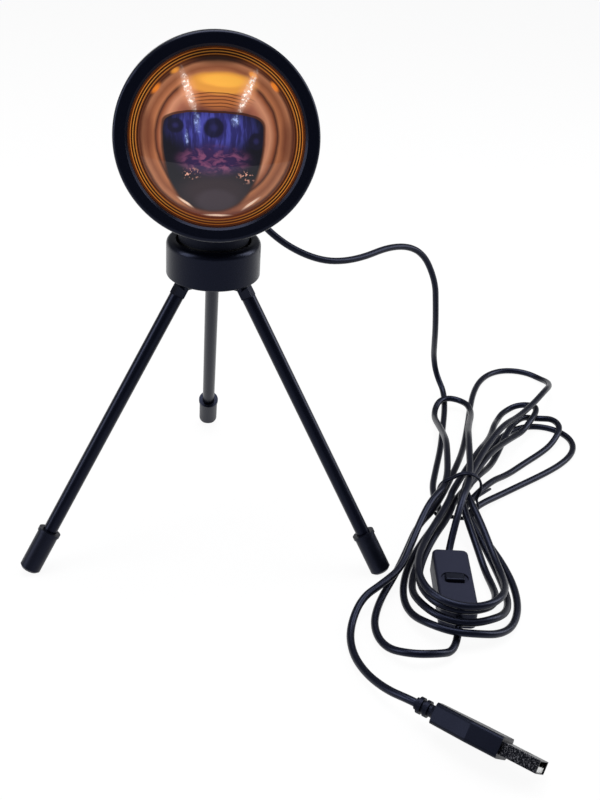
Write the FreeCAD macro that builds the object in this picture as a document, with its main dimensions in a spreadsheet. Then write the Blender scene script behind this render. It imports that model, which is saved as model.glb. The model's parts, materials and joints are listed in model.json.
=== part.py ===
# Sunset projection lamp: a magnetic ball head on a small folding tripod, with a USB lead,
# an in-line switch and the spare lead tied in a hank beside it.
# Units are millimetres. +Z is up, the lens faces -Y, and the feet stand on z = 0.
import FreeCAD
import Part
import math
import os
import re
import Sketcher
from FreeCAD import Placement, Rotation, Vector

os.makedirs("parts", exist_ok=True)
doc = FreeCAD.newDocument("sunset_lamp")

# ---------------------------------------------------------------------------
# Driving dimensions
# ---------------------------------------------------------------------------
DIMENSIONS = {
    # fits used all over the lamp
    "fit_gap": 0.05,
    "slide_gap": 0.3,
    # tripod
    "foot_circle": 82.0,
    "pivot_radius": 12.2,
    "pivot_height": 112.0,
    "tube_radius": 2.75,
    "tube_wall": 0.5,
    "tube_start": 6.8,
    "blade_width": 5.0,
    "blade_thick": 3.2,
    "blade_end": 9.0,
    "plug_end": 24.0,
    "foot_cap_radius": 4.15,
    "foot_cap_length": 18.0,
    "foot_cap_floor": 3.0,
    "foot_cap_rise": 1.4,
    "foot_lip": 0.35,
    "foot_lip_height": 1.4,
    "foot_chamfer": 0.9,
    "pin_radius": 1.0,
    # hub under the cup
    "hub_radius": 14.7,
    "hub_bottom": 111.2,
    "hub_thick": 5.0,
    "lug_bottom": 109.4,
    "lug_width": 7.6,
    "lug_inner": 8.6,
    "slot_top": 115.2,
    "screw_radius": 2.0,
    "screw_head_radius": 3.6,
    "screw_head_height": 2.4,
    "washer_radius": 4.6,
    "washer_thick": 0.8,
    "socket_radius": 1.4,
    "socket_depth": 1.5,
    # cup
    "cup_radius": 18.0,
    "cup_bottom": 112.4,
    "cup_top": 127.0,
    "cup_bore": 14.1,
    "cup_recess": 15.2,
    "cup_web": 4.2,
    "cup_round": 2.4,
    "cup_edge": 0.8,
    # magnetic seat
    "magnet_radius": 13.0,
    "magnet_thick": 6.6,
    "magnet_bore": 2.6,
    "seat_gap": 0.1,
    "seat_radius": 13.4,
    "seat_rise": 4.3,
    # ball head, on its own axis, from the ball's centre
    "ball_radius": 37.0,
    "ball_wall": 2.2,
    "ball_height": 166.5,
    "head_tilt": 15.0,
    "barrel_radius": 34.9,
    "barrel_end": 21.0,
    "neck_radius": 33.2,
    "neck_bore": 31.6,
    "neck_end": 26.4,
    "ledge": 17.0,
    "gland_hole": 3.1,
    "bezel_radius": 35.3,
    "bezel_face": 30.0,
    "bezel_lip": 2.6,
    "window_radius": 30.2,
    "window_chamfer": 0.8,
    "bezel_round": 1.3,
    "bezel_back_round": 0.5,
    # optics
    "stack_radius": 31.4,
    "reflector_flange": 1.0,
    "filter_thick": 1.2,
    "lens_back": 22.0,
    "lens_rim": 2.6,
    "lens_clear_radius": 30.0,
    "lens_crown": 6.6,
    "spacer_bore": 29.4,
    "gasket_bore": 30.3,
    "reflector_wall": 1.2,
    "reflector_mouth": 28.4,
    "reflector_throat": 9.0,
    "led_window": 6.2,
    "reflector_foot": 17.5,
    "reflector_base": 1.5,
    # electronics
    "board_radius": 17.0,
    "board_thick": 1.6,
    "chip_side": 7.6,
    "chip_thick": 0.9,
    "chip_dome": 2.6,
    "sink_radius": 18.0,
    "sink_thick": 3.0,
    "fin_height": 9.0,
    "fin_thick": 1.2,
    "fin_pitch": 4.0,
    "fin_length": 22.0,
    "wire_way": 2.7,
    "board_screw_circle": 14.6,
    "board_screw_radius": 1.0,
    "board_screw_head": 1.9,
    "board_screw_head_height": 1.4,
    "wire_radius": 0.6,
    "wire_spread": 1.3,
    # lead
    "cord_radius": 1.5,
    "gland_flange": 4.8,
    "gland_flange_thick": 1.4,
    "gland_inner_flange": 4.6,
    "gland_inner_thick": 1.6,
    "relief_length": 12.0,
    "relief_base": 3.0,
    "relief_tip": 2.1,
    # in-line switch
    "switch_length": 38.0,
    "switch_width": 14.6,
    "switch_height": 10.0,
    "switch_split": 5.0,
    "switch_wall": 1.3,
    "switch_corner": 2.4,
    "switch_edge": 1.2,
    "button_length": 7.6,
    "button_width": 4.2,
    "button_rise": 0.9,
    "button_flange": 0.9,
    "button_travel": 0.8,
    "button_gap": 0.1,
    "stem_radius": 1.0,
    "stem_length": 3.0,
    "dish_length": 11.4,
    "dish_width": 6.8,
    "dish_depth": 0.8,
    "contact_length": 8.0,
    "contact_width": 6.0,
    # plug
    "relief_ring_radius": 3.0,
    "relief_core_radius": 2.2,
    "ring_thick": 1.5,
    "ring_pitch": 2.6,
    "plug_tail_width": 7.6,
    "plug_nose_width": 15.0,
    "plug_height": 7.6,
    "plug_body_length": 26.0,
    "plug_edge": 1.4,
    "shell_width": 12.0,
    "shell_height": 4.5,
    "shell_length": 13.4,
    "shell_wall": 0.3,
    "shell_root": 4.0,
    "tongue_height": 1.8,
    "contact_strip": 1.2,
    "contact_thick": 0.2,
    "contact_pitch": 2.4,
    # tie
    "tie_radius": 0.55,
    "tie_gap": 0.6,
    "tie_tail": 17.0,
}

sheet = doc.addObject("Spreadsheet::Sheet", "dims")
for row, (alias, number) in enumerate(DIMENSIONS.items(), start=1):
    sheet.set("A%d" % row, alias)
    sheet.set("B%d" % row, repr(number))
    sheet.setAlias("B%d" % row, alias)
doc.recompute()

MATHS = {"sqrt", "atan", "sin", "cos", "tan", "deg"}


def bound(text):
    """The same words as an expression that reads the sheet."""
    def named(match):
        word = match.group(0)
        return word if word in MATHS else "dims." + word

    return re.sub(r"[a-z_]*[a-z]", named, text)


def size(text):
    """The present value of an expression in the sheet's words."""
    return float(doc.dims.evalExpression(bound(text).replace("dims.", "")))


# ---------------------------------------------------------------------------
# Helpers: sketched bodies
# ---------------------------------------------------------------------------
def origin_part(body, role):
    return next(item for item in body.Origin.OriginFeatures if item.Role == role)


def new_body(label):
    body = doc.addObject("PartDesign::Body", label)
    body.Label = label
    return body


def place(sketch, body, role):
    sketch.AttachmentSupport = (origin_part(body, role), "")
    sketch.MapMode = "FlatFace"


def pin_down(sketch, kind, geometry, vertex, text, number):
    index = sketch.addConstraint(Sketcher.Constraint(kind, geometry, vertex, number))
    if re.search("[a-z]", text):
        sketch.setExpression("Constraints[%d]" % index, bound(text))


def outline(body, name, role, corners, arcs=None):
    """Closed outline on an origin plane. corners are pairs of expressions.
    arcs gives, by corner, the radius and bulge side of an arc from there to the next corner."""
    arcs = arcs or {}
    sketch = body.newObject("Sketcher::SketchObject", name)
    place(sketch, body, role)
    points = [Vector(size(x), size(y), 0) for x, y in corners]
    count = len(points)
    for i, start in enumerate(points):
        end = points[(i + 1) % count]
        if i in arcs:
            radius = size(arcs[i][0])
            half = (end - start) / 2
            side = Vector(-half.y, half.x, 0).normalize() * arcs[i][1]
            top = start + half + side * (radius - math.sqrt(radius**2 - half.Length**2))
            # sketch arcs run anticlockwise, so one that bulges to the left is drawn end first
            sketch.addGeometry(Part.Arc(end, top, start) if arcs[i][1] > 0 else Part.Arc(start, top, end))
        else:
            sketch.addGeometry(Part.LineSegment(start, end))
    ends = [(2, 1) if i in arcs and arcs[i][1] > 0 else (1, 2) for i in range(count)]
    for i in range(count):
        after = (i + 1) % count
        sketch.addConstraint(Sketcher.Constraint("Coincident", i, ends[i][1], after, ends[after][0]))
    for i, (x, y) in enumerate(corners):
        pin_down(sketch, "DistanceX", i, ends[i][0], x, points[i].x)
        pin_down(sketch, "DistanceY", i, ends[i][0], y, points[i].y)
    for i, (radius, _) in arcs.items():
        index = sketch.addConstraint(Sketcher.Constraint("Radius", i, size(radius)))
        sketch.setExpression("Constraints[%d]" % index, bound(radius))
    return sketch


def circles(body, name, role, rings):
    """Sketch of circles, each a centre and a radius given as expressions."""
    sketch = body.newObject("Sketcher::SketchObject", name)
    place(sketch, body, role)
    for i, (x, y, radius) in enumerate(rings):
        sketch.addGeometry(Part.Circle(Vector(size(x), size(y), 0), Vector(0, 0, 1), size(radius)))
        pin_down(sketch, "DistanceX", i, 3, x, size(x))
        pin_down(sketch, "DistanceY", i, 3, y, size(y))
        index = sketch.addConstraint(Sketcher.Constraint("Radius", i, size(radius)))
        sketch.setExpression("Constraints[%d]" % index, bound(radius))
    return sketch


def turn(body, corners, arcs=None, name="turned"):
    """Revolve an outline of (radius, height) corners about the body's Z axis."""
    sketch = outline(body, name + "_outline", "XZ_Plane", corners, arcs)
    feature = body.newObject("PartDesign::Revolution", name)
    feature.Profile = sketch
    feature.ReferenceAxis = (sketch, ["V_Axis"])
    feature.Angle = 360
    return feature


def pad(body, sketch, length, name, midplane=False, reversed_way=False):
    feature = body.newObject("PartDesign::Pad", name)
    feature.Profile = sketch
    feature.SideType = "Symmetric" if midplane else "One side"
    feature.Reversed = reversed_way
    feature.setExpression("Length", bound(length))
    return feature


def pocket(body, sketch, length, name, midplane=False, reversed_way=False):
    feature = body.newObject("PartDesign::Pocket", name)
    feature.Profile = sketch
    feature.SideType = "Symmetric" if midplane else "One side"
    feature.Reversed = reversed_way
    feature.setExpression("Length", bound(length))
    return feature


def must_cut(body, before, what):
    """A pocket that misses the solid removes nothing, so its volume is compared."""
    doc.recompute()
    if body.Shape.Volume > before - 1e-3:
        raise RuntimeError("%s cuts nothing from %s" % (what, body.Label))


def edges_where(shape, test):
    return ["Edge%d" % (i + 1) for i, edge in enumerate(shape.Edges) if test(edge)]


def ring_edge(radius, height, slack=1e-3):
    """Test for a full circle of this radius at this height."""

    def test(edge):
        curve = edge.Curve
        return (
            isinstance(curve, Part.Circle)
            and abs(curve.Radius - radius) < slack
            and abs(curve.Center.z - height) < slack
        )

    return test


def dress(body, kind, length, test, name):
    """Fillet or Chamfer of the present shape's edges that pass the test."""
    doc.recompute()
    tip = body.Tip
    names = edges_where(tip.Shape, test)
    if not names:
        raise RuntimeError("%s finds no edge on %s" % (name, body.Label))
    feature = body.newObject("PartDesign::" + kind, name)
    feature.Base = (tip, names)
    feature.setExpression("Radius" if kind == "Fillet" else "Size", bound(length))
    return feature


def solid(kind, name, **sizes):
    """A Part primitive whose properties are bound to the sheet."""
    item = doc.addObject("Part::" + kind, name)
    for prop, text in sizes.items():
        if re.search("[a-z]", text):
            item.setExpression(prop.replace("_", "."), bound(text))
        else:
            setattr(item, prop, float(text))
    return item


def lift(item, x="0", y="0", z="0"):
    for axis, text in zip("xyz", (x, y, z)):
        if text != "0":
            item.setExpression("Placement.Base." + axis, bound(text))
    return item


def joined(kind, label, base, tool):
    item = doc.addObject("Part::" + kind, label)
    item.Label = label
    item.Base = base
    item.Tool = tool
    return item


def group(label, items):
    item = doc.addObject("Part::Compound", label)
    item.Label = label
    item.Links = items
    return item


nodes = []


def keep(item, placement):
    item.Placement = placement
    nodes.append(item)
    return item


# ---------------------------------------------------------------------------
# Places worked out from the driving dimensions
# ---------------------------------------------------------------------------
leg_run = size("foot_circle - pivot_radius")
leg_slant = math.hypot(leg_run, size("pivot_height"))
leg_angle = math.degrees(math.atan2(leg_run, size("pivot_height")))
leg_azimuths = {"rear": 90.0, "left": 210.0, "right": 330.0}

# the feet bound the lamp front to back, and the hub is set back so that the middle of that
# box is at y = 0; seen from above the front caps reach a little further out than the rear one
hub_y = -(size("foot_circle") / 4 - 0.1311 * size("foot_cap_radius"))
hub = Vector(0, hub_y, 0)
stand_at = Placement(hub, Rotation())
ball_centre = hub + Vector(0, 0, size("ball_height"))
head_at = Placement(ball_centre, Rotation(Vector(1, 0, 0), 90 - size("head_tilt")))

# ---------------------------------------------------------------------------
# Stand: hub, cup and leg pins
# ---------------------------------------------------------------------------
HUB_TOP = "hub_bottom + hub_thick"
WEB_TOP = HUB_TOP + " + cup_web"


def make_hub_block():
    body = new_body("hub_block")
    shank = "screw_radius + fit_gap"
    turn(
        body,
        [(shank, "hub_bottom"), ("hub_radius", "hub_bottom"), ("hub_radius", HUB_TOP), (shank, HUB_TOP)],
    )
    lug = outline(
        body,
        "lug_outline",
        "YZ_Plane",
        [
            ("lug_inner", "lug_bottom"),
            ("hub_radius - 0.2", "lug_bottom"),
            ("hub_radius - 0.2", "hub_bottom + 1"),
            ("lug_inner", "hub_bottom + 1"),
        ],
    )
    lug_pad = pad(body, lug, "lug_width", "lug", midplane=True)
    doc.recompute()
    before = body.Shape.Volume
    slot = outline(
        body,
        "slot_outline",
        "YZ_Plane",
        [
            ("lug_inner", "lug_bottom - 1"),
            ("hub_radius + 1", "lug_bottom - 1"),
            ("hub_radius + 1", "slot_top"),
            ("lug_inner", "slot_top"),
        ],
    )
    slot_cut = pocket(body, slot, "blade_thick + 2 * slide_gap", "slot", midplane=True)
    must_cut(body, before, "slot")
    before = body.Shape.Volume
    hole = circles(body, "pin_hole_outline", "YZ_Plane", [("pivot_radius", "pivot_height", "pin_radius")])
    pin_cut = pocket(body, hole, "lug_width + 6", "pin_hole", midplane=True)
    must_cut(body, before, "pin hole")
    ring = body.newObject("PartDesign::PolarPattern", "three_lugs")
    ring.Originals = [lug_pad, slot_cut, pin_cut]
    ring.Axis = (origin_part(body, "Z_Axis"), [""])
    ring.Angle = 360
    ring.Occurrences = 3
    body.Tip = ring
    return keep(body, stand_at)


def make_leg_pins():
    pins = []
    for azimuth in leg_azimuths.values():
        pin = solid("Cylinder", "leg_pin", Radius="pin_radius", Height="lug_width")
        turned = Rotation(Vector(0, 0, 1), azimuth)
        across = turned * Rotation(Vector(1, 0, 0), -90)
        centre = turned.multVec(Vector(size("pivot_radius"), -size("lug_width") / 2, size("pivot_height")))
        pin.Placement = Placement(centre, across)
        pins.append(pin)
    return keep(group("leg_pins", pins), stand_at)


def make_cup():
    body = new_body("cup_holder")
    turn(
        body,
        [
            ("screw_radius + fit_gap", HUB_TOP),
            ("cup_recess", HUB_TOP),
            ("cup_recess", "cup_bottom"),
            ("cup_radius", "cup_bottom"),
            ("cup_radius", "cup_top"),
            ("cup_bore", "cup_top"),
            ("cup_bore", WEB_TOP),
            ("screw_radius + fit_gap", WEB_TOP),
        ],
    )
    outer, inner = size("cup_radius"), size("cup_bore")
    top, bottom = size("cup_top"), size("cup_bottom")
    dress(body, "Fillet", "cup_round", ring_edge(outer, top), "rim_round")
    dress(body, "Fillet", "cup_edge", ring_edge(inner, top), "bore_round")
    dress(body, "Fillet", "cup_edge", ring_edge(outer, bottom), "skirt_round")
    return keep(body, stand_at)


def make_hub_screw():
    body = new_body("hub_screw")
    under = "hub_bottom - washer_thick"
    turn(
        body,
        [
            ("0", under + " - screw_head_height"),
            ("screw_head_radius", under + " - screw_head_height"),
            ("screw_head_radius", under),
            ("screw_radius", under),
            ("screw_radius", WEB_TOP + " - 0.6"),
            ("0", WEB_TOP + " - 0.6"),
        ],
    )
    doc.recompute()
    before = body.Shape.Volume
    socket = body.newObject("Sketcher::SketchObject", "socket_outline")
    place(socket, body, "XY_Plane")
    socket.AttachmentOffset = Placement(Vector(0, 0, size(under + " - screw_head_height")), Rotation())
    socket.setExpression("AttachmentOffset.Base.z", bound(under + " - screw_head_height"))
    reach = size("socket_radius")
    sixths = [math.radians(a) for a in range(0, 360, 60)]
    corners = [Vector(reach * math.cos(a), reach * math.sin(a), 0) for a in sixths]
    for i, corner in enumerate(corners):
        socket.addGeometry(Part.LineSegment(corner, corners[(i + 1) % 6]))
    pocket(body, socket, "socket_depth", "socket", reversed_way=True)
    must_cut(body, before, "socket")
    dress(
        body,
        "Fillet",
        "0.25 * screw_head_height",
        ring_edge(size("screw_head_radius"), size(under + " - screw_head_height")),
        "head_round",
    )
    return keep(body, stand_at)


def make_hub_washer():
    body = new_body("hub_washer")
    low = "hub_bottom - washer_thick"
    turn(
        body,
        [
            ("screw_radius + fit_gap", low),
            ("washer_radius", low),
            ("washer_radius", "hub_bottom"),
            ("screw_radius + fit_gap", "hub_bottom"),
        ],
    )
    return keep(body, stand_at)


# ---------------------------------------------------------------------------
# Swivelling magnetic seat
# ---------------------------------------------------------------------------
MAGNET_TOP = WEB_TOP + " + seat_gap + magnet_thick"


def make_seat_magnet():
    body = new_body("seat_magnet")
    low = WEB_TOP + " + seat_gap"
    turn(
        body,
        [
            ("magnet_bore", low),
            ("magnet_radius", low),
            ("magnet_radius", MAGNET_TOP),
            ("magnet_bore", MAGNET_TOP),
        ],
    )
    dress(body, "Chamfer", "0.4", ring_edge(size("magnet_radius"), size(low)), "magnet_edge")
    return keep(body, stand_at)


def make_seat_pad():
    disc = lift(solid("Cylinder", "pad_disc", Radius="seat_radius", Height="seat_rise"), z=MAGNET_TOP)
    ball = lift(solid("Sphere", "pad_hollow", Radius="ball_radius + slide_gap"), z="ball_height")
    return keep(joined("Cut", "seat_pad", disc, ball), stand_at)


# ---------------------------------------------------------------------------
# Head: shells and optics, turned about the lens axis
# ---------------------------------------------------------------------------
INNER_BALL = "(ball_radius - ball_wall)"
LIP_BACK = "bezel_face - bezel_lip"


def chord(radius, across):
    """Height on a circle of this radius at this distance from the axis."""
    return "sqrt((%s)^2 - (%s)^2)" % (radius, across)


def make_housing_shell():
    body = new_body("housing_shell")
    turn(
        body,
        [
            ("gland_hole", "-" + chord("ball_radius", "gland_hole")),
            ("barrel_radius", chord("ball_radius", "barrel_radius")),
            ("barrel_radius", "barrel_end"),
            ("neck_radius", "barrel_end"),
            ("neck_radius", "neck_end"),
            ("neck_bore", "neck_end"),
            ("neck_bore", "ledge"),
            (chord(INNER_BALL, "ledge"), "ledge"),
            ("gland_hole", "-" + chord(INNER_BALL, "gland_hole")),
        ],
        arcs={0: ("ball_radius", -1), 7: (INNER_BALL, 1)},
    )
    return keep(body, head_at)


def make_bezel():
    body = new_body("bezel_ring")
    back = "barrel_end + 0.15"
    turn(
        body,
        [
            ("neck_radius + fit_gap", back),
            ("bezel_radius", back),
            ("bezel_radius", "bezel_face"),
            ("window_radius + window_chamfer", "bezel_face"),
            ("window_radius", "bezel_face - window_chamfer"),
            ("window_radius", LIP_BACK),
            ("neck_radius + fit_gap", LIP_BACK),
        ],
    )
    rim = size("bezel_radius")
    dress(body, "Fillet", "bezel_round", ring_edge(rim, size("bezel_face")), "front_round")
    dress(body, "Fillet", "bezel_back_round", ring_edge(rim, size(back)), "back_round")
    return keep(body, head_at)


def make_lens():
    body = new_body("lens")
    rim_top = "lens_back + lens_rim"
    crown = "(lens_clear_radius^2 + lens_crown^2) / (2 * lens_crown)"
    turn(
        body,
        [
            ("0", "lens_back"),
            ("stack_radius", "lens_back"),
            ("stack_radius", rim_top),
            ("lens_clear_radius", rim_top),
            ("0", rim_top + " + lens_crown"),
        ],
        arcs={3: (crown, -1)},
    )
    return keep(body, head_at)


def make_flat_ring(label, bore, radius, low, high):
    body = new_body(label)
    turn(body, [(bore, low), (radius, low), (radius, high), (bore, high)])
    return keep(body, head_at)


FLANGE_TOP = "ledge + reflector_flange"
FILTER_TOP = FLANGE_TOP + " + filter_thick"


def make_optic_rings():
    make_flat_ring("sunset_filter", "0", "stack_radius", FLANGE_TOP, FILTER_TOP)
    make_flat_ring("lens_spacer", "spacer_bore", "stack_radius", FILTER_TOP, "lens_back")
    make_flat_ring("lens_gasket", "gasket_bore", "stack_radius", "lens_back + lens_rim", LIP_BACK)


def make_reflector():
    body = new_body("reflector_cup")
    turn(
        body,
        [
            ("led_window", "0"),
            ("reflector_throat", "0"),
            ("reflector_mouth", FLANGE_TOP),
            ("stack_radius", FLANGE_TOP),
            ("stack_radius", "ledge"),
            ("reflector_mouth + 0.3", "ledge"),
            ("reflector_throat + reflector_wall", "0"),
            ("reflector_foot", "0"),
            ("reflector_foot", "-reflector_base"),
            ("led_window", "-reflector_base"),
        ],
    )
    screw_holes(body, "reflector_base + 1", "0.5")
    return keep(body, head_at)


BOARD_BACK = "reflector_base + board_thick"
SINK_BACK = BOARD_BACK + " + sink_thick"


def screw_places():
    return [("board_screw_circle", "0"), ("-board_screw_circle", "0")]


def screw_holes(body, depth, start):
    doc.recompute()
    before = body.Shape.Volume
    rings = [(x, y, "board_screw_radius + fit_gap") for x, y in screw_places()]
    sketch = circles(body, "screw_hole_outline", "XY_Plane", rings)
    sketch.setExpression("AttachmentOffset.Base.z", bound(start))
    pocket(body, sketch, depth, "screw_holes", reversed_way=False)
    must_cut(body, before, "screw holes")


def make_led_board():
    body = new_body("led_board")
    turn(
        body,
        [
            ("wire_way", "-(" + BOARD_BACK + ")"),
            ("board_radius", "-(" + BOARD_BACK + ")"),
            ("board_radius", "-reflector_base"),
            ("wire_way", "-reflector_base"),
        ],
    )
    screw_holes(body, "board_thick + 1", "0.5 - reflector_base")
    return keep(body, head_at)


def make_led_chip():
    chip = solid("Box", "chip_base", Length="chip_side", Width="chip_side", Height="chip_thick")
    lift(chip, "-chip_side / 2", "-chip_side / 2", "-reflector_base")
    dome = lift(solid("Sphere", "chip_dome_ball", Radius="chip_dome"), z="chip_thick - reflector_base")
    dome.Angle1 = 0
    return keep(joined("Fuse", "led_chip", chip, dome), head_at)


def make_heat_sink():
    body = new_body("heat_sink")
    turn(
        body,
        [
            ("wire_way", "-(" + SINK_BACK + ")"),
            ("sink_radius", "-(" + SINK_BACK + ")"),
            ("sink_radius", "-(" + BOARD_BACK + ")"),
            ("wire_way", "-(" + BOARD_BACK + ")"),
        ],
    )
    fin = outline(
        body,
        "fin_outline",
        "XY_Plane",
        [
            ("fin_pitch / 2 + wire_way / 2", "-fin_length / 2"),
            ("fin_pitch / 2 + wire_way / 2 + fin_thick", "-fin_length / 2"),
            ("fin_pitch / 2 + wire_way / 2 + fin_thick", "fin_length / 2"),
            ("fin_pitch / 2 + wire_way / 2", "fin_length / 2"),
        ],
    )
    fin.setExpression("AttachmentOffset.Base.z", bound("-(" + SINK_BACK + ") + 0.5"))
    fin_pad = pad(body, fin, "fin_height + 0.5", "fin", reversed_way=True)
    row = body.newObject("PartDesign::LinearPattern", "fin_row")
    row.Originals = [fin_pad]
    row.Direction = (origin_part(body, "X_Axis"), [""])
    row.Occurrences = 3
    row.setExpression("Length", bound("2 * fin_pitch"))
    mirror = body.newObject("PartDesign::Mirrored", "fin_row_mirrored")
    both = body.newObject("PartDesign::MultiTransform", "fins")
    both.Originals = [fin_pad]
    both.Transformations = [row, mirror]
    mirror.MirrorPlane = (origin_part(body, "YZ_Plane"), [""])
    row.Originals = []
    mirror.Originals = []
    body.Tip = both
    screw_holes(body, "sink_thick + 1", "0.5 - (" + BOARD_BACK + ")")
    return keep(body, head_at)


def make_board_screws():
    screws = []
    for x, y in screw_places():
        shank = solid(
            "Cylinder",
            "board_screw_shank",
            Radius="board_screw_radius",
            Height="reflector_base + board_thick + sink_thick",
        )
        lift(shank, x, y, "-(" + SINK_BACK + ")")
        cap = {"Radius": "board_screw_head", "Height": "board_screw_head_height"}
        head = solid("Cylinder", "board_screw_cap", **cap)
        lift(head, x, y, "-(" + SINK_BACK + ") - board_screw_head_height")
        screws.append(joined("Fuse", "board_screw", shank, head))
    return keep(group("board_screws", screws), head_at)


GLAND_FACE = "-(ball_radius + 0.1)"
GLAND_INNER = "-(ball_radius - ball_wall - 0.5)"


def make_gland():
    body = new_body("cord_gland")
    tip = GLAND_FACE + " - gland_flange_thick - relief_length"
    turn(
        body,
        [
            ("0", tip),
            ("relief_tip", tip),
            ("relief_base", GLAND_FACE + " - gland_flange_thick"),
            ("gland_flange", GLAND_FACE + " - gland_flange_thick"),
            ("gland_flange", GLAND_FACE),
            ("gland_hole - fit_gap", GLAND_FACE),
            ("gland_hole - fit_gap", GLAND_INNER),
            ("gland_inner_flange", GLAND_INNER),
            ("gland_inner_flange", GLAND_INNER + " + gland_inner_thick"),
            ("0", GLAND_INNER + " + gland_inner_thick"),
        ],
    )
    return keep(body, head_at)


def make_inner_leads():
    wires = []
    for side in ("wire_spread", "-wire_spread"):
        low = GLAND_INNER + " + gland_inner_thick"
        wire = solid("Cylinder", "inner_lead", Radius="wire_radius", Height="-reflector_base - (" + low + ")")
        wires.append(lift(wire, "0", side, low))
    return keep(group("inner_leads", wires), head_at)


# ---------------------------------------------------------------------------
# Legs: each is drawn hanging along -Z from its pivot, then spread and turned into place
# ---------------------------------------------------------------------------
def leg_place(azimuth):
    around = Rotation(Vector(0, 0, 1), azimuth)
    spread = Rotation(Vector(0, 1, 0), -leg_angle)
    pivot = around.multVec(Vector(size("pivot_radius"), 0, size("pivot_height")))
    return Placement(hub + pivot, around * spread)


CAP_END = "(sqrt((foot_circle - pivot_radius)^2 + pivot_height^2) - foot_cap_rise)"
TUBE_END = "(" + CAP_END + " - foot_cap_floor)"


def make_leg_link(name, where):
    body = new_body("leg_link_" + name)
    half = "blade_width / 2"
    blade = outline(
        body,
        "blade_outline",
        "XZ_Plane",
        [("-" + half, "-blade_end"), (half, "-blade_end"), (half, "0"), ("0", half), ("-" + half, "0")],
        arcs={2: (half, -1), 3: (half, -1)},
    )
    pad(body, blade, "blade_thick", "blade", midplane=True)
    spigot = "tube_radius - tube_wall - fit_gap"
    turn(
        body,
        [("0", "-plug_end"), (spigot, "-plug_end"), (spigot, "-tube_start"), ("0", "-tube_start")],
        name="spigot",
    )
    doc.recompute()
    before = body.Shape.Volume
    hole = circles(body, "pivot_hole_outline", "XZ_Plane", [("0", "0", "pin_radius + fit_gap")])
    pocket(body, hole, "blade_thick + 1", "pivot_hole", midplane=True)
    must_cut(body, before, "pivot hole")
    doc.recompute()
    before = body.Shape.Volume
    # below the tube's top the blade is turned down to the spigot
    shoulder = circles(
        body,
        "shoulder_outline",
        "XY_Plane",
        [("0", "0", "blade_width"), ("0", "0", spigot)],
    )
    shoulder.setExpression("AttachmentOffset.Base.z", bound("-tube_start"))
    pocket(body, shoulder, "blade_end", "shoulder")
    must_cut(body, before, "shoulder")
    return keep(body, where)


def make_leg_tube(name, where):
    body = new_body("leg_tube_" + name)
    bore = "tube_radius - tube_wall"
    low, high = "-" + TUBE_END, "-tube_start"
    turn(body, [(bore, low), ("tube_radius", low), ("tube_radius", high), (bore, high)])
    return keep(body, where)


def make_foot_cap(name, where):
    body = new_body("foot_cap_" + name)
    end = "-" + CAP_END
    top = end + " + foot_cap_length"
    bore = "tube_radius + fit_gap"
    turn(
        body,
        [
            ("0", end),
            ("foot_cap_radius - foot_chamfer", end),
            ("foot_cap_radius", end + " + foot_chamfer"),
            ("foot_cap_radius", top + " - foot_lip_height"),
            ("foot_cap_radius + foot_lip", top + " - foot_lip_height"),
            ("foot_cap_radius + foot_lip", top),
            (bore, top),
            (bore, end + " + foot_cap_floor"),
            ("0", end + " + foot_cap_floor"),
        ],
    )
    # the low side is worn flat where it stands on the floor
    doc.recompute()
    before = body.Shape.Volume
    slope = "(foot_circle - pivot_radius) / pivot_height"
    slant = "sqrt((foot_circle - pivot_radius)^2 + pivot_height^2)"
    floor = outline(
        body,
        "floor_outline",
        "XZ_Plane",
        [
            ("-3 * foot_cap_radius", "3 * foot_cap_radius * " + slope + " - " + slant),
            ("3 * foot_cap_radius", "-3 * foot_cap_radius * " + slope + " - " + slant),
            ("-3 * foot_cap_radius", "-3 * foot_cap_radius * " + slope + " - " + slant),
        ],
    )
    pocket(body, floor, "4 * foot_cap_radius", "floor_flat", midplane=True)
    must_cut(body, before, "floor flat")
    return keep(body, where)


# ---------------------------------------------------------------------------
# In-line switch, drawn about its own middle with Y along the lead
# ---------------------------------------------------------------------------
SWITCH_MIDDLE = (96.8, -56.5)
SWITCH_TURN = -4.0
switch_at = Placement(hub + Vector(*SWITCH_MIDDLE, 0), Rotation(Vector(0, 0, 1), SWITCH_TURN))

UNDER_COVER = "switch_height - dish_depth - switch_wall"
BLOCK_TOP = UNDER_COVER + " - button_flange - button_travel"
INSIDE_LENGTH = "switch_length - 6 * switch_wall"
INSIDE_WIDTH = "switch_width - 2 * switch_wall"


def upright(edge):
    return isinstance(edge.Curve, Part.Line) and abs(edge.Curve.Direction.z) > 0.999


def level_edge(height):
    def test(edge):
        box = edge.BoundBox
        return abs(box.ZMin - height) < 1e-4 and abs(box.ZMax - height) < 1e-4

    return test


def rectangle(body, name, length, width, height):
    """Rectangle sketch about the origin, length along Y, lifted to a height."""
    half_width, half_length = "(%s) / 2" % width, "(%s) / 2" % length
    sketch = outline(
        body,
        name + "_outline",
        "XY_Plane",
        [
            ("-" + half_width, "-" + half_length),
            (half_width, "-" + half_length),
            (half_width, half_length),
            ("-" + half_width, half_length),
        ],
    )
    if height != "0":
        sketch.setExpression("AttachmentOffset.Base.z", bound(height))
    return sketch


def block(body, name, length, width, low, high):
    sketch = rectangle(body, name, length, width, low)
    return pad(body, sketch, "(%s) - (%s)" % (high, low), name)


def hollow(body, name, length, width, start, depth, upward=False):
    doc.recompute()
    before = body.Shape.Volume
    sketch = rectangle(body, name, length, width, start)
    pocket(body, sketch, depth, name, reversed_way=upward)
    must_cut(body, before, name)


def make_switch_base():
    body = new_body("switch_base")
    block(body, "base", "switch_length", "switch_width", "0", "switch_split")
    dress(body, "Fillet", "switch_corner", upright, "base_corners")
    dress(body, "Chamfer", "0.5 * switch_edge", level_edge(0), "base_edge")
    hollow(body, "base_room", INSIDE_LENGTH, INSIDE_WIDTH, "switch_split", "switch_split - switch_wall")
    return keep(body, switch_at)


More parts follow.
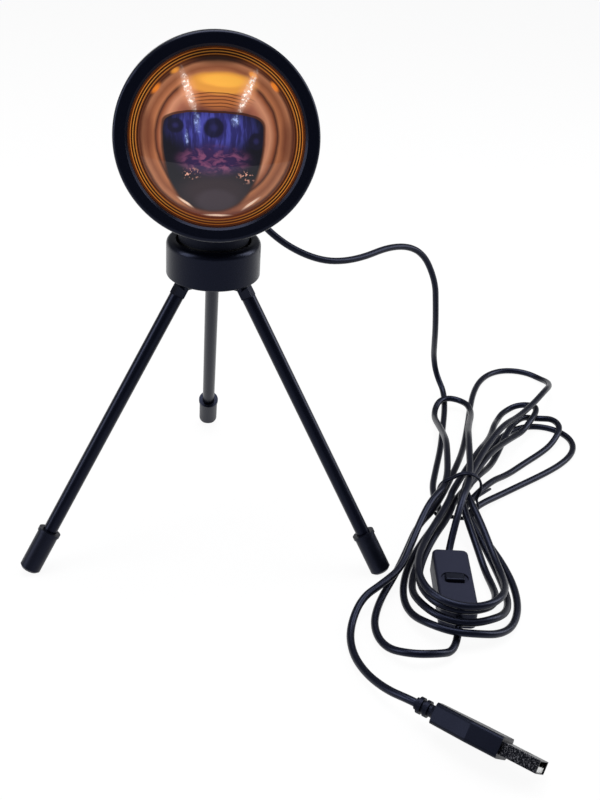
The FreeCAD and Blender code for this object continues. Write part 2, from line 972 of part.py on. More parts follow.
def make_switch_cover():
    body = new_body("switch_cover")
    block(body, "cover", "switch_length", "switch_width", "switch_split", "switch_height")
    dress(body, "Fillet", "switch_corner", upright, "cover_corners")
    dress(body, "Fillet", "switch_edge", level_edge(size("switch_height")), "cover_edge")
    hollow(
        body,
        "cover_room",
        INSIDE_LENGTH,
        INSIDE_WIDTH,
        "switch_split",
        UNDER_COVER + " - switch_split",
        upward=True,
    )
    # a shallow oval dish lies across the cover, with the button's slot in its floor
    doc.recompute()
    before = body.Shape.Volume
    straight, end = "(dish_length - dish_width) / 2", "dish_width / 2"
    dish = outline(
        body,
        "dish_outline",
        "XY_Plane",
        [
            ("-" + straight, "-" + end),
            (straight, "-" + end),
            (straight, end),
            ("-" + straight, end),
        ],
        arcs={1: ("1.002 * " + end, -1), 3: ("1.002 * " + end, -1)},
    )
    dish.setExpression("AttachmentOffset.Base.z", bound("switch_height"))
    pocket(body, dish, "dish_depth", "dish")
    must_cut(body, before, "dish")
    hollow(
        body,
        "button_slot",
        "button_width + 2 * button_gap",
        "button_length + 2 * button_gap",
        "switch_height",
        "switch_height - switch_split",
    )
    return keep(body, switch_at)


def make_button():
    body = new_body("switch_button")
    top = "switch_height + button_rise"
    block(body, "key", "button_width", "button_length", UNDER_COVER + " - 0.5 * button_flange", top)
    dress(body, "Fillet", "0.25 * button_width", upright, "key_corners")
    dress(body, "Fillet", "0.12 * button_width", level_edge(size(top)), "key_edge")
    block(
        body,
        "flange",
        "button_width + 3 * button_flange",
        "button_length + 2 * button_flange",
        UNDER_COVER + " - button_flange",
        UNDER_COVER,
    )
    stem = circles(body, "stem_outline", "XY_Plane", [("0", "0", "stem_radius")])
    stem.setExpression("AttachmentOffset.Base.z", bound(UNDER_COVER + " - 0.5 * button_flange"))
    pad(body, stem, "stem_length + 0.5 * button_flange", "stem", reversed_way=True)
    return keep(body, switch_at)


def make_switch_contact():
    body = new_body("switch_contact")
    block(body, "contact_block", "contact_length", "contact_width", "switch_wall", BLOCK_TOP + " - 0.1")
    doc.recompute()
    before = body.Shape.Volume
    way = circles(body, "stem_way_outline", "XY_Plane", [("0", "0", "stem_radius + button_gap")])
    way.setExpression("AttachmentOffset.Base.z", bound(BLOCK_TOP + " - 0.1"))
    pocket(body, way, BLOCK_TOP + " - 0.1 - 2 * switch_wall + 0.3", "stem_way")
    must_cut(body, before, "stem way")
    return keep(body, switch_at)


# ---------------------------------------------------------------------------
# USB plug, drawn along its own Z from the end of the lead, flat side up
# ---------------------------------------------------------------------------
PLUG_START = (71.5, -122.8)
PLUG_TURN = -39.0
PLUG_ROLL = -42.0
PLUG_MIDDLE = 7.5
PLUG_RISE = [0.05, 0.3, 0.72]
plug_way = Vector(math.cos(math.radians(PLUG_TURN)), math.sin(math.radians(PLUG_TURN)), 0)
plug_side = Rotation(plug_way, PLUG_ROLL).multVec(Vector(0, 0, 1).cross(plug_way))
plug_up = Rotation(plug_way, PLUG_ROLL).multVec(Vector(0, 0, 1))
plug_at = Placement(
    hub + Vector(*PLUG_START, PLUG_MIDDLE),
    Rotation(plug_side, plug_up, plug_way, "ZXY"),
)
BODY_START = "3 * ring_pitch"
BODY_END = BODY_START + " + plug_body_length"
SHELL_START = BODY_END + " - shell_root"
SHELL_END = BODY_END + " + shell_length"


def along_plug(edge):
    return isinstance(edge.Curve, Part.Line) and abs(edge.Curve.Direction.y) < 1e-6 and abs(
        edge.Curve.Direction.z
    ) > 0.5


def make_plug_body():
    body = new_body("plug_body")
    tail, nose = "plug_tail_width / 2", "plug_nose_width / 2"
    shoulder = BODY_START + " + 0.55 * plug_body_length"
    flanks = outline(
        body,
        "flank_outline",
        "XZ_Plane",
        [
            ("-" + tail, BODY_START),
            (tail, BODY_START),
            (nose, shoulder),
            (nose, BODY_END),
            ("-" + nose, BODY_END),
            ("-" + nose, shoulder),
        ],
    )
    pad(body, flanks, "plug_height", "grip", midplane=True)
    dress(body, "Fillet", "plug_edge", along_plug, "grip_round")
    core, ring = "relief_core_radius", "relief_ring_radius"
    corners = [("0", "0"), (core, "0")]
    for number in range(2):
        start = "%d * ring_pitch + 1.1" % number
        finish = start + " + ring_thick"
        corners += [(core, start), (ring, start), (ring, finish), (core, finish)]
    corners += [(core, "2 * ring_pitch + 1.1"), (ring, BODY_START + " + 0.5"), ("0", BODY_START + " + 0.5")]
    turn(body, corners, name="relief")
    doc.recompute()
    before = body.Shape.Volume
    seat = rectangle(body, "shell_seat", "shell_height", "shell_width", SHELL_START)
    pocket(body, seat, "shell_root + 1", "shell_seat", reversed_way=True)
    must_cut(body, before, "shell seat")
    return keep(body, plug_at)


def make_plug_shell():
    body = new_body("plug_shell")
    block(body, "shell", "shell_height", "shell_width", SHELL_START, SHELL_END)
    dress(body, "Fillet", "shell_wall", upright, "shell_corners")
    hollow(
        body,
        "shell_inside",
        "shell_height - 2 * shell_wall",
        "shell_width - 2 * shell_wall",
        SHELL_START + " - 1",
        "shell_root + shell_length + 2",
        upward=True,
    )
    doc.recompute()
    before = body.Shape.Volume
    low, high = BODY_END + " + 0.45 * shell_length", BODY_END + " + 0.62 * shell_length"
    inner, outer = "0.14 * shell_width", "0.33 * shell_width"
    window = outline(
        body, "window_outline", "XZ_Plane", [(inner, low), (outer, low), (outer, high), (inner, high)]
    )
    cut = pocket(body, window, "2 * shell_height", "window", midplane=True)
    pair = body.newObject("PartDesign::Mirrored", "window_pair")
    pair.Originals = [cut]
    pair.MirrorPlane = (origin_part(body, "YZ_Plane"), [""])
    body.Tip = pair
    must_cut(body, before, "windows")
    return keep(body, plug_at)


def make_plug_tongue():
    body = new_body("plug_tongue")
    inside_width = "shell_width - 2 * shell_wall"
    # a block fills the shell's root, and the tongue stands out of it along one side
    block(body, "root", "shell_height - 2 * shell_wall", inside_width, SHELL_START, BODY_END + " - 1")
    low = "shell_wall - shell_height / 2"
    side = outline(
        body,
        "tongue_outline",
        "YZ_Plane",
        [
            (low, SHELL_START),
            (low + " + tongue_height", SHELL_START),
            (low + " + tongue_height", SHELL_END + " - 0.6"),
            (low, SHELL_END + " - 0.6"),
        ],
    )
    pad(body, side, inside_width, "tongue", midplane=True)
    return keep(body, plug_at)


def make_plug_contacts():
    strips = []
    for number in (-1.5, -0.5, 0.5, 1.5):
        strip = solid(
            "Box", "contact_strip", Length="contact_strip", Width="contact_thick", Height="shell_length - 2"
        )
        lift(
            strip,
            "%s * contact_pitch - contact_strip / 2" % number,
            "shell_wall - shell_height / 2 + tongue_height",
            BODY_END + " - 1",
        )
        strips.append(strip)
    return keep(group("plug_contacts", strips), plug_at)


# ---------------------------------------------------------------------------
# The lead
# ---------------------------------------------------------------------------
def rounded_route(points):
    """Straight runs joined by tangent arcs, and the tightest arc's radius."""
    points = [Vector(*p) for p in points]
    edges = []
    radii = []
    at = points[0]
    for i in range(1, len(points) - 1):
        before, after = points[i - 1] - points[i], points[i + 1] - points[i]
        shorter = min(before.Length, after.Length)
        half_turn = (math.pi - before.getAngle(after)) / 2
        trim = 0.45 * shorter
        radius = trim / math.tan(half_turn)
        radii.append(radius)
        into = points[i] + before.normalize() * trim
        out = points[i] + after.normalize() * trim
        bisector = (before + after).normalize()
        middle = points[i] + bisector * (radius / math.cos(half_turn) - radius)
        edges.append(Part.makeLine(at, into))
        edges.append(Part.Arc(into, middle, out).toShape())
        at = out
    edges.append(Part.makeLine(at, points[-1]))
    return Part.Wire(edges), min(radii)


def half_arc(start, knee, end):
    """Arc from start to end whose end tangents meet at the knee."""
    middle = (start + end) / 2
    rise = (knee - middle).Length
    if rise < 1e-4:
        return Part.makeLine(start, end)
    half = (end - start).Length / 2
    sagitta = half * math.tan(math.atan2(rise, half) / 2)
    return Part.Arc(start, middle + (knee - middle) * (sagitta / rise), end).toShape()


def arc_pair(start, start_way, end, end_way):
    """Two arcs, tangent to each other, that leave and arrive in the two directions."""
    span = end - start
    ways = start_way + end_way
    twist = 2 * (1 - start_way.dot(end_way))
    across = span.dot(ways)
    if twist < 1e-9:
        reach = span.dot(span) / (2 * across)
    else:
        reach = (-across + math.sqrt(across**2 + twist * span.dot(span))) / twist
    knee_a, knee_b = start + start_way * reach, end - end_way * reach
    joint = (knee_a + knee_b) / 2
    return [half_arc(start, knee_a, joint), half_arc(joint, knee_b, end)]


def even_slope(before, here, after):
    """Slope at a point that never makes the route dip under or bulge over its points."""
    arriving = (here.z - before.z) / math.hypot(here.x - before.x, here.y - before.y)
    leaving = (after.z - here.z) / math.hypot(after.x - here.x, after.y - here.y)
    if arriving * leaving <= 0:
        return 0
    return 2 * arriving * leaving / (arriving + leaving)


def flowing_route(points, first_way, last_way, straight):
    """Arc pairs through the points, with a straight run square to what each end meets."""
    nodes_at = [Vector(*p) for p in points]
    begin, finish = nodes_at[0], nodes_at[-1]
    inner = [begin + first_way * straight] + nodes_at[1:-1] + [finish - last_way * straight]
    ways = [first_way]
    for before, here, after in zip(inner, inner[1:], inner[2:]):
        level = Vector(after.x - before.x, after.y - before.y, 0).normalize()
        ways.append((level + Vector(0, 0, even_slope(before, here, after))).normalize())
    ways.append(last_way)
    edges = [Part.makeLine(begin, inner[0])]
    for i in range(len(inner) - 1):
        edges += arc_pair(inner[i], ways[i], inner[i + 1], ways[i + 1])
    edges.append(Part.makeLine(inner[-1], finish))
    return Part.Wire(edges)


def tube(label, wire, radius_name="cord_radius"):
    """Round section swept along a wire."""
    radius = size(radius_name)
    first = wire.OrderedEdges[0]
    start, way = first.valueAt(first.FirstParameter), first.tangentAt(first.FirstParameter)
    if first.Orientation == "Reversed":
        start, way = first.valueAt(first.LastParameter), first.tangentAt(first.LastParameter) * -1
    profile = Part.Wire([Part.makeCircle(radius, start, way)])
    item = doc.addObject("Part::Feature", label)
    item.Label = label
    item.Shape = wire.makePipeShell([profile], True, False)
    expected = math.pi * radius**2 * wire.Length
    ratio = item.Shape.Volume / expected
    print("%-14s length %7.1f mm, volume / (section x length) = %.4f" % (label, wire.Length, ratio))
    return item


# --- the tied hank: loops laid one over the other, all caught at the waist
HANK_START = (117.0, 80.0)
WAIST = (107.5, -2.0)
WAIST_PITCH = 2.4
WAIST_BAND = 9.0
# where each of the eleven strands crosses the waist, in pitches from its middle: first two
# outer strands, then pairs inwards, then a second layer on top of them
WAIST_PLACES = [-2.5, 2.5, -1.5, 1.5, -0.5, 0.5, -1.0, 1.0, -3.5, 2.0, -2.0]
# loops as (compass direction from +Y towards +X, reach from the waist, width)
UPPER_LOOPS = [
    (40.0, 98.0, 31.0),
    (36.5, 101.0, 20.0),
    (29.5, 109.0, 16.0),
    (25.5, 151.0, 33.0),
    (9.5, 100.0, 14.0),
]
LOWER_LOOPS = [(188.0, 85.0, 41.0), (188.5, 81.8, 35.5), (190.0, 78.5, 30.0), (189.0, 80.3, 33.0)]
LOOP_NODES = 18
LAY_SLOPE = 0.3
LAY_LAG = 8
LAY_GAP = 0.8
LAY_STEP = 1.5
FLOOR_HEIGHT = 1.6
LANDING_RUN = 25.2
TIE_HEIGHT = 1.2
TO_WAIST = [(114.0, 67.0), (110.5, 52.0), (105.5, 35.0), (100.5, 17.0)]
TO_SWITCH = [
    (88.5, -16.0),
    (82.0, -31.0),
    (74.8, -47.5),
    (66.5, -62.0),
    (62.6, -76.0),
    (65.5, -88.5),
    (74.0, -95.5),
    (84.0, -95.5),
]
# the last of it lies on the floor under the lower loops, then rises to the switch
INTO_SWITCH = [(91.5, -90.0, 1.6)]
FROM_SWITCH = [(105.0, -19.0)]
TO_PLUG = [
    (94.0, -13.0),
    (87.5, -24.5),
    (82.0, -36.5),
    (76.5, -48.0),
    (68.5, -57.0),
    (59.0, -65.0),
    (53.5, -77.5),
    (53.0, -90.5),
    (56.5, -103.5),
    (62.5, -114.5),
]


def waist_place(strand):
    return (WAIST[0] + WAIST_PLACES[strand] * WAIST_PITCH, WAIST[1])


def loop_plan(start, end, direction, reach, width):
    """Teardrop loop with a round head, seen from above, from one waist place out and back."""
    turned = math.radians(direction)
    widest = max(math.sin(math.radians(a)) * math.sin(math.radians(a / 2)) for a in range(1, 180))
    stem = min(1, max(0.3, 1.9 * width / reach))
    places = []
    for k in range(1, LOOP_NODES + 1):
        share = k / (LOOP_NODES + 1)
        swing = 2 * math.pi * share
        out = reach * math.sin(swing / 2) ** (2 * stem)
        aside = width / 2 * math.sin(swing) * math.sin(swing / 2) / widest
        x, y = between(start, end, share)
        x += out * math.sin(turned) + aside * math.cos(turned)
        y += out * math.cos(turned) - aside * math.sin(turned)
        places.append((x, y))
    return places


def between(start, end, share):
    return tuple(a + (b - a) * share for a, b in zip(start, end))


def lay_down(places, under):
    """Heights for a route laid over what is already there, kept clear of it all the way."""
    reach = 2 * size("cord_radius") + LAY_GAP
    heights = []
    for _, y in places:
        heights.append(FLOOR_HEIGHT + (TIE_HEIGHT if abs(y - WAIST[1]) < WAIST_BAND else 0))
    runs = [math.dist(a, b) for a, b in zip(places, places[1:])]

    def settle(k):
        steps = max(3, int(runs[k] / LAY_STEP))
        start, end = (*places[k], heights[k]), (*places[k + 1], heights[k + 1])
        under.extend(between(start, end, i / steps) for i in range(steps))

    for k in range(len(runs)):
        steps = max(3, int(runs[k] / LAY_STEP))
        need = 0
        for i in range(steps + 1):
            x, y = between(places[k], places[k + 1], i / steps)
            for low_x, low_y, low_z in under:
                if abs(low_x - x) < reach and abs(low_y - y) < reach:
                    aside = math.hypot(low_x - x, low_y - y)
                    if aside < reach:
                        need = max(need, low_z + math.sqrt(reach**2 - aside**2))
        heights[k] = max(heights[k], need)
        heights[k + 1] = max(heights[k + 1], need, heights[k] - LAY_SLOPE * runs[k])
        for j in range(k, max(-1, k - LAY_LAG), -1):
            heights[j] = max(heights[j], heights[j + 1] - LAY_SLOPE * runs[j])
        if k >= LAY_LAG:
            settle(k - LAY_LAG)
    for k in range(max(0, len(runs) - LAY_LAG), len(runs)):
        settle(k)
    return [(x, y, z) for (x, y), z in zip(places, heights)]


def switch_roof(switch_face, switch_axis):
    """Points just inside the switch's outline that a strand over it has to climb over."""
    inset = size("cord_radius")
    across = Vector(switch_axis.y, -switch_axis.x, 0) * size("switch_width / 2 - cord_radius")
    count = int(size("switch_length") / LAY_STEP)
    spots = []
    for i in range(count + 1):
        along = inset + (size("switch_length") - 2 * inset) * i / count
        for share in (-1, -0.5, 0, 0.5, 1):
            spot = switch_face + switch_axis * along + across * share
            spots.append((spot.x, spot.y, size("switch_height") - inset))
    return spots


def hank_routes(switch_face, switch_axis):
    strands = [waist_place(n) for n in range(11)]
    first = [HANK_START] + TO_WAIST + [strands[0]]
    for k in range(4):
        first += loop_plan(strands[2 * k], strands[2 * k + 1], *LOWER_LOOPS[k]) + [strands[2 * k + 1]]
        first += loop_plan(strands[2 * k + 1], strands[2 * k + 2], *UPPER_LOOPS[k]) + [strands[2 * k + 2]]
    first += TO_SWITCH
    second = FROM_SWITCH + [strands[9]] + loop_plan(strands[9], strands[10], *UPPER_LOOPS[4]) + [strands[10]]
    second += TO_PLUG
    end = [(*TO_SWITCH[-1], FLOOR_HEIGHT)] + INTO_SWITCH
    end += [tuple(switch_face - switch_axis * 3), tuple(switch_face)]
    under = []
    for start, after in zip(end, end[1:]):
        steps = int(math.dist(start, after) / LAY_STEP) + 1
        under += [between(start, after, i / steps) for i in range(steps + 1)]
    under += switch_roof(switch_face, switch_axis)
    first = lay_down(first, under) + INTO_SWITCH
    back = Vector(*HANK_START, 0) - Vector(*TO_WAIST[0], 0)
    landing = Vector(*HANK_START, 0) + back.normalize() * LANDING_RUN
    for i in range(int(LANDING_RUN / LAY_STEP) + 1):
        x, y = between(HANK_START, (landing.x, landing.y), i * LAY_STEP / LANDING_RUN)
        under.append((x, y, FLOOR_HEIGHT))
    second = lay_down(second, under)
    for k, share in enumerate(PLUG_RISE, start=-len(PLUG_RISE)):
        x, y, z = second[k]
        second[k] = (x, y, z + share * (PLUG_MIDDLE - FLOOR_HEIGHT))
    return first, second


def nearest_own_turn(wires, skip):
    """Least distance between samples of the tubes that are not neighbours along one tube."""
    samples = []
    for number, wire in enumerate(wires):
        count = int(wire.Length / 0.8)
        for i, point in enumerate(wire.discretize(count)):
            samples.append((number, i * wire.Length / (count - 1), point))
    cell = 6.0
    grid = {}
    for sample in samples:
        point = sample[2]
        key = (int(point.x // cell), int(point.y // cell), int(point.z // cell))
        grid.setdefault(key, []).append(sample)
    least = (1e9, None)
    for key, cellful in grid.items():
        around = [
            other
            for dx in (-1, 0, 1)
            for dy in (-1, 0, 1)
            for dz in (-1, 0, 1)
            for other in grid.get((key[0] + dx, key[1] + dy, key[2] + dz), [])
        ]
        for number, length, point in cellful:
            for other_number, other_length, other in around:
                if number == other_number and abs(length - other_length) < skip:
                    continue
                away = (point - other).Length
                if away < least[0]:
                    least = (away, point, other)
    return least


def make_cords():
    radius = size("cord_radius")
    along = Vector(math.sin(math.radians(-SWITCH_TURN)), math.cos(math.radians(-SWITCH_TURN)), 0)
    middle = Vector(*SWITCH_MIDDLE, size("switch_split"))
    lower_end = middle - along * size("switch_length / 2")
    upper_end = middle + along * size("switch_length / 2")
    first, second = hank_routes(lower_end, along)
    setting_out = (Vector(*first[1]) - Vector(*first[0])).normalize()
    arriving = Vector(plug_way)
    plug_face = Vector(*PLUG_START, PLUG_MIDDLE)
    to_switch = flowing_route(first + [tuple(lower_end)], setting_out, along, 2 * radius)
    to_plug = flowing_route([tuple(upper_end)] + second + [tuple(plug_face)], along, arriving, 2 * radius)
    least = nearest_own_turn([to_switch, to_plug], 4 * math.pi)
    print("hank: least gap between turns %.2f mm" % (least[0] - 2 * radius), least[1:])
    print("hank: top at %.1f mm" % max(p[2] for p in first + second))
    for label, wire in (("cord_hank", to_switch), ("cord_plug_side", to_plug)):
        keep(tube(label, wire), stand_at)

    # free stretch from the gland down to the hank, in mid-air behind the right leg
    out = head_at.Rotation.multVec(Vector(0, 0, -1))
    tip = head_at.multVec(Vector(0, 0, size(GLAND_FACE + " - gland_flange_thick - relief_length"))) - hub
    start = Vector(*first[0])
    landing = start - setting_out * LANDING_RUN
    free = [tuple(tip), tuple(tip + out * 11)] + FREE_STRETCH + [tuple(landing), tuple(start)]
    wire, tightest = rounded_route(free)
    print("cord_lead: tightest bend radius %.1f mm" % tightest)
    keep(tube("cord_lead", wire), stand_at)
    return first, second


FREE_STRETCH = [
    (3, 68, 138),
    (10, 66, 122),
    (26, 58, 105),
    (46, 58, 94.5),
    (64, 68, 91),
    (84, 84, 93),
    (99, 93, 87),
    (107.5, 95, 71),
    (109.8, 97.5, 56.2),
    (111.9, 101.4, 42.3),
    (113.4, 106.3, 31.9),
    (115.7, 114.4, 19.5),
    (118, 113.5, 10),
]


def waist_place_x(pick):
    return WAIST[0] + pick(WAIST_PLACES) * WAIST_PITCH


def make_tie(heights):
    """Wire tied once round the waist, with a short twisted end."""
    radius = size("tie_radius")
    low = radius + 0.05
    high = max(heights) + size("cord_radius") + radius + 0.05
    beside = size("cord_radius") + radius + 0.9
    bend = 2.5
    x, y = WAIST
    left, right = waist_place_x(min) - beside, waist_place_x(max) + beside
    corners = [(left, low), (right, low), (right, high), (left, high)]
    centres = [
        (left + bend, low + bend),
        (right - bend, low + bend),
        (right - bend, high - bend),
        (left + bend, high - bend),
    ]
    edges = []
    for i, (cx, cz) in enumerate(centres):
        nx, nz = centres[(i + 1) % 4]
        outward = math.radians(180 + 90 * i)
        swing = (outward, outward + math.pi / 4, outward + math.pi / 2)
        points = [Vector(cx + bend * math.cos(a), y, cz + bend * math.sin(a)) for a in swing]
        edges.append(Part.Arc(*points).toShape())
        quarter = outward + math.pi / 2
        straight_end = Vector(nx + bend * math.cos(quarter), y, nz + bend * math.sin(quarter))
        edges.append(Part.makeLine(points[2], straight_end))
    ring = Part.Wire(edges)
    first = ring.OrderedEdges[0]
    start, way = first.valueAt(first.FirstParameter), first.tangentAt(first.FirstParameter)
    profile = Part.Wire([Part.makeCircle(radius, start, way)])
    loop = ring.makePipeShell([profile], True, False)
    tail_start = Vector(right - 0.2, y, high - bend)
    tail_way = Vector(0.5, 0.78, -0.12).normalize()
    tail = Part.makeCylinder(radius, size("tie_tail"), tail_start, tail_way)
    item = doc.addObject("Part::Feature", "cord_tie")
    item.Label = "cord_tie"
    item.Shape = loop.fuse(tail)
    return keep(item, stand_at)


# ---------------------------------------------------------------------------
for maker in (
    make_hub_block,
    make_leg_pins,
    make_cup,
    make_hub_screw,
    make_hub_washer,
    make_seat_magnet,
    make_seat_pad,
    make_housing_shell,
    make_bezel,
    make_lens,
    make_optic_rings,
    make_reflector,
    make_led_board,
    make_led_chip,
    make_heat_sink,
    make_board_screws,
    make_gland,
    make_inner_leads,
):
    maker()
for leg_name, leg_azimuth in leg_azimuths.items():
    leg_at = leg_place(leg_azimuth)
    make_leg_link(leg_name, leg_at)
    make_leg_tube(leg_name, leg_at)
    make_foot_cap(leg_name, leg_at)
make_switch_base()
make_switch_cover()
make_button()
make_switch_contact()
make_plug_body()
make_plug_shell()
make_plug_tongue()
make_plug_contacts()
laid = make_cords()
make_tie([z for x, y, z in laid[0] + laid[1] if y == WAIST[1]])

doc.recompute()
for item in doc.Objects:
    if "Invalid" in item.State or "Error" in item.State:
        raise RuntimeError("%s did not build: %s" % (item.Label, item.getStatusString()))
for node in nodes:
    shape = node.Shape
    if shape.isNull() or not shape.isValid():
        raise RuntimeError("%s has no valid shape" % node.Label)
    print("%-18s %7.2f cm3  solids %d" % (node.Label, shape.Volume / 1000, len(shape.Solids)), shape.BoundBox)
for node in nodes:
    node.Shape.exportStep("parts/%s.step" % node.Label)
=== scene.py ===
# %% [markdown]
# # A sunset projection lamp on a folding tripod
# The imported CAD model is loaded first and stays where it is. Rigid parts that already have the
# right shape keep it and only get a real finish. The soft lead and its wire tie are modelled here,
# because their look comes from how they bend, and the lens gets a skin of painted reflections that
# shows what the coated optics behind it throw back.

# %% Load the frame and note where the hub stands
import json
import math

import bpy
from mathutils import Matrix, Vector


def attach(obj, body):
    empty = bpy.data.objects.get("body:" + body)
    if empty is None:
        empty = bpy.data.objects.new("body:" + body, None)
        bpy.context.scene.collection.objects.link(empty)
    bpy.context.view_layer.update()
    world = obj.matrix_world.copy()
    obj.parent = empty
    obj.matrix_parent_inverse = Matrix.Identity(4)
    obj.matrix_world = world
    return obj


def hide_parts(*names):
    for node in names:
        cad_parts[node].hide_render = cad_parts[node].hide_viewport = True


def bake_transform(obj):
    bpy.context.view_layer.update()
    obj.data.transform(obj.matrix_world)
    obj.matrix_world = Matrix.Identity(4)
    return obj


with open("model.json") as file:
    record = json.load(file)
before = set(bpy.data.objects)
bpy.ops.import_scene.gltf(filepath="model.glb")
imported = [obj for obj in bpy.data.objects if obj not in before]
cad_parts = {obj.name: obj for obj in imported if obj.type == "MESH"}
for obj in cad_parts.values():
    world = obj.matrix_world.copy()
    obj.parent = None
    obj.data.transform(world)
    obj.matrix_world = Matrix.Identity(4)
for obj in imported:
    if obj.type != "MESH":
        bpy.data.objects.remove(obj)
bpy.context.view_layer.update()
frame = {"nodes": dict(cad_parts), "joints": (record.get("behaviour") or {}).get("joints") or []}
joints = {joint["name"]: joint for joint in frame["joints"]}
HUB = Vector((joints["head_swivel"]["pos_m"][0], joints["head_swivel"]["pos_m"][1], 0))
BALL = Vector(joints["head_tilt"]["pos_m"])
MM = 0.001
print("hub stands at", tuple(HUB), "ball centre", tuple(BALL))


def from_hub(x, y, z):
    """A point given in millimetres from the foot of the hub's axis, in the row frame."""
    return HUB + Vector((x, y, z)) * MM

# %% [markdown]
# ## Camera
# The camera was found from the tripod: three straight legs, a round cup and a flat floor give
# its height, its tilt and its distance. It stands 42 cm in front and 29 cm up, looks down 29
# degrees and leans a few degrees to the right.

# %% Place the camera
CAMERA_PLACE = (-4.794, -421.584, 293.689)
FOCAL_PX, LONG_SIDE_PX, SENSOR_MM = 1181.81, 800, 36
LOOK_DOWN, TURN, LEAN = (math.radians(a) for a in (29.18, 5.63, 3.73))
level_ahead = Vector((math.sin(TURN), math.cos(TURN), 0))
ahead = level_ahead * math.cos(LOOK_DOWN) - Vector((0, 0, math.sin(LOOK_DOWN)))
level_right = Vector((math.cos(TURN), -math.sin(TURN), 0))
level_up = level_right.cross(ahead)
right = level_right * math.cos(LEAN) + level_up * math.sin(LEAN)
up = level_up * math.cos(LEAN) - level_right * math.sin(LEAN)
turned = Matrix((right, up, -ahead)).transposed().to_euler()
bpy.ops.object.camera_add(location=from_hub(*CAMERA_PLACE), rotation=turned)
camera = bpy.context.object
camera.name = "photo_camera"
camera.data.sensor_width = SENSOR_MM
camera.data.lens = SENSOR_MM * FOCAL_PX / LONG_SIDE_PX
camera.data.clip_start, camera.data.clip_end = 0.01, 20
bpy.context.scene.camera = camera
print("lens", round(camera.data.lens, 2), "mm")

# %% [markdown]
# ## The lead
# A thin round PVC lead leaves the back of the ball, hangs behind the right leg and reaches the
# floor, where the spare length is folded into a hank and tied at its waist. A switch sits on it,
# and it ends in a USB plug. A NURBS curve is the natural way to draw it: a few listed points for
# the free part, and one teardrop formula for every loop of the hank.

# %% Facts about the lead, in millimetres from the hub
LEAD_RADIUS, LEAD_STUB = 1.5, 3.0
CURVE_STEPS, ROUND_STEPS = 8, 5
PLUG_START, PLUG_TURN, PLUG_MIDDLE = (71.5, -122.8), math.radians(-39), 7.5
PLUG_RISE = [0.05, 0.3, 0.72]
SWITCH_MIDDLE, SWITCH_TURN, SWITCH_SPLIT = (96.8, -56.5), math.radians(-4), 5.0
SWITCH_LENGTH, SWITCH_WIDTH, SWITCH_HEIGHT = 38.0, 14.6, 10.0
HEAD_TILT = math.radians(15)
switch_way = Vector((math.sin(-SWITCH_TURN), math.cos(SWITCH_TURN), 0))
plug_way = Vector((math.cos(PLUG_TURN), math.sin(PLUG_TURN), 0))
lens_way = Vector((0, -math.cos(HEAD_TILT), math.sin(HEAD_TILT)))
print("lead is", 2 * LEAD_RADIUS, "mm thick")

# %% A round curve, and a smooth lead made with it
def round_curve(name, kind, places, radius):
    """A round curve of one spline; places in metres, radius in mm."""
    data = bpy.data.curves.new(name, "CURVE")
    data.dimensions = "3D"
    spline = data.splines.new(kind)
    spline.points.add(len(places) - 1)
    for point, place in zip(spline.points, places):
        point.co = (*place, 1)
        point.radius = radius * MM  # the thickness sits here, as a curve's box grows by this value
    data.bevel_depth = 1
    data.bevel_resolution = ROUND_STEPS
    data.use_fill_caps = True
    piece = bpy.data.objects.new(name, data)
    bpy.context.collection.objects.link(piece)
    return piece


def lead_curve(name, points, radius=LEAD_RADIUS):
    """A round lead along a smooth spline whose control points are given from the hub, in mm."""
    piece = round_curve(name, "NURBS", [from_hub(*point) for point in points], radius)
    spline = piece.data.splines[0]
    spline.order_u = 3
    spline.use_endpoint_u = True
    spline.resolution_u = CURVE_STEPS
    return piece


def run_length(piece):
    """How long a curve's one spline is, in metres."""
    return piece.data.splines[0].calc_length()

# %% [markdown]
# The hank is laid the way a hand lays it. Each strand crosses the waist at its own place, a
# teardrop loop goes out and comes back, and wherever a strand crosses one that is already there
# it climbs over it. The heights are worked out strand by strand from that rule.
#
# A loop is given by its direction from the waist in degrees, its reach and its width. The upper
# loops fan out to the back, the lower ones lie round the switch.

# %% The hank's plan
HANK_START = (117.0, 80.0)
WAIST, WAIST_PITCH, WAIST_BAND = (107.5, -2.0), 2.4, 9.0
WAIST_PLACES = [-2.5, 2.5, -1.5, 1.5, -0.5, 0.5, -1.0, 1.0, -3.5, 2.0, -2.0]
UPPER_LOOPS = [
    (40.0, 98.0, 31.0), (36.5, 101.0, 20.0), (29.5, 109.0, 16.0), (25.5, 151.0, 33.0), (9.5, 100.0, 14.0),
]
LOWER_LOOPS = [(188.0, 85.0, 41.0), (188.5, 81.8, 35.5), (190.0, 78.5, 30.0), (189.0, 80.3, 33.0)]
LOOP_NODES, LOOP_STEM, LEAST_STEM = 18, 1.9, 0.3
LAY_GAP, LAY_STEP, LAY_SLOPE, LAY_LAG, LEAST_STEPS = 0.8, 1.5, 0.3, 8, 3
FLOOR_HEIGHT, TIE_HEIGHT, LANDING_RUN = 1.6, 1.2, 25.2
TO_WAIST = [(114.0, 67.0), (110.5, 52.0), (105.5, 35.0), (100.5, 17.0)]
TO_SWITCH = [
    (88.5, -16.0), (82.0, -31.0), (74.8, -47.5), (66.5, -62.0),
    (62.6, -76.0), (65.5, -88.5), (74.0, -95.5), (84.0, -95.5),
]
INTO_SWITCH = [(91.5, -90.0, 1.6)]
FROM_SWITCH = [(105.0, -19.0)]
TO_PLUG = [
    (94.0, -13.0), (87.5, -24.5), (82.0, -36.5), (76.5, -48.0), (68.5, -57.0),
    (59.0, -65.0), (53.5, -77.5), (53.0, -90.5), (56.5, -103.5), (62.5, -114.5),
]
print(len(LOWER_LOOPS), "lower loops and", len(UPPER_LOOPS), "upper ones")


# %% One loop, seen from above
def between(start, end, share):
    """The place that is a share of the way from start to end."""
    return tuple(a + (b - a) * share for a, b in zip(start, end))


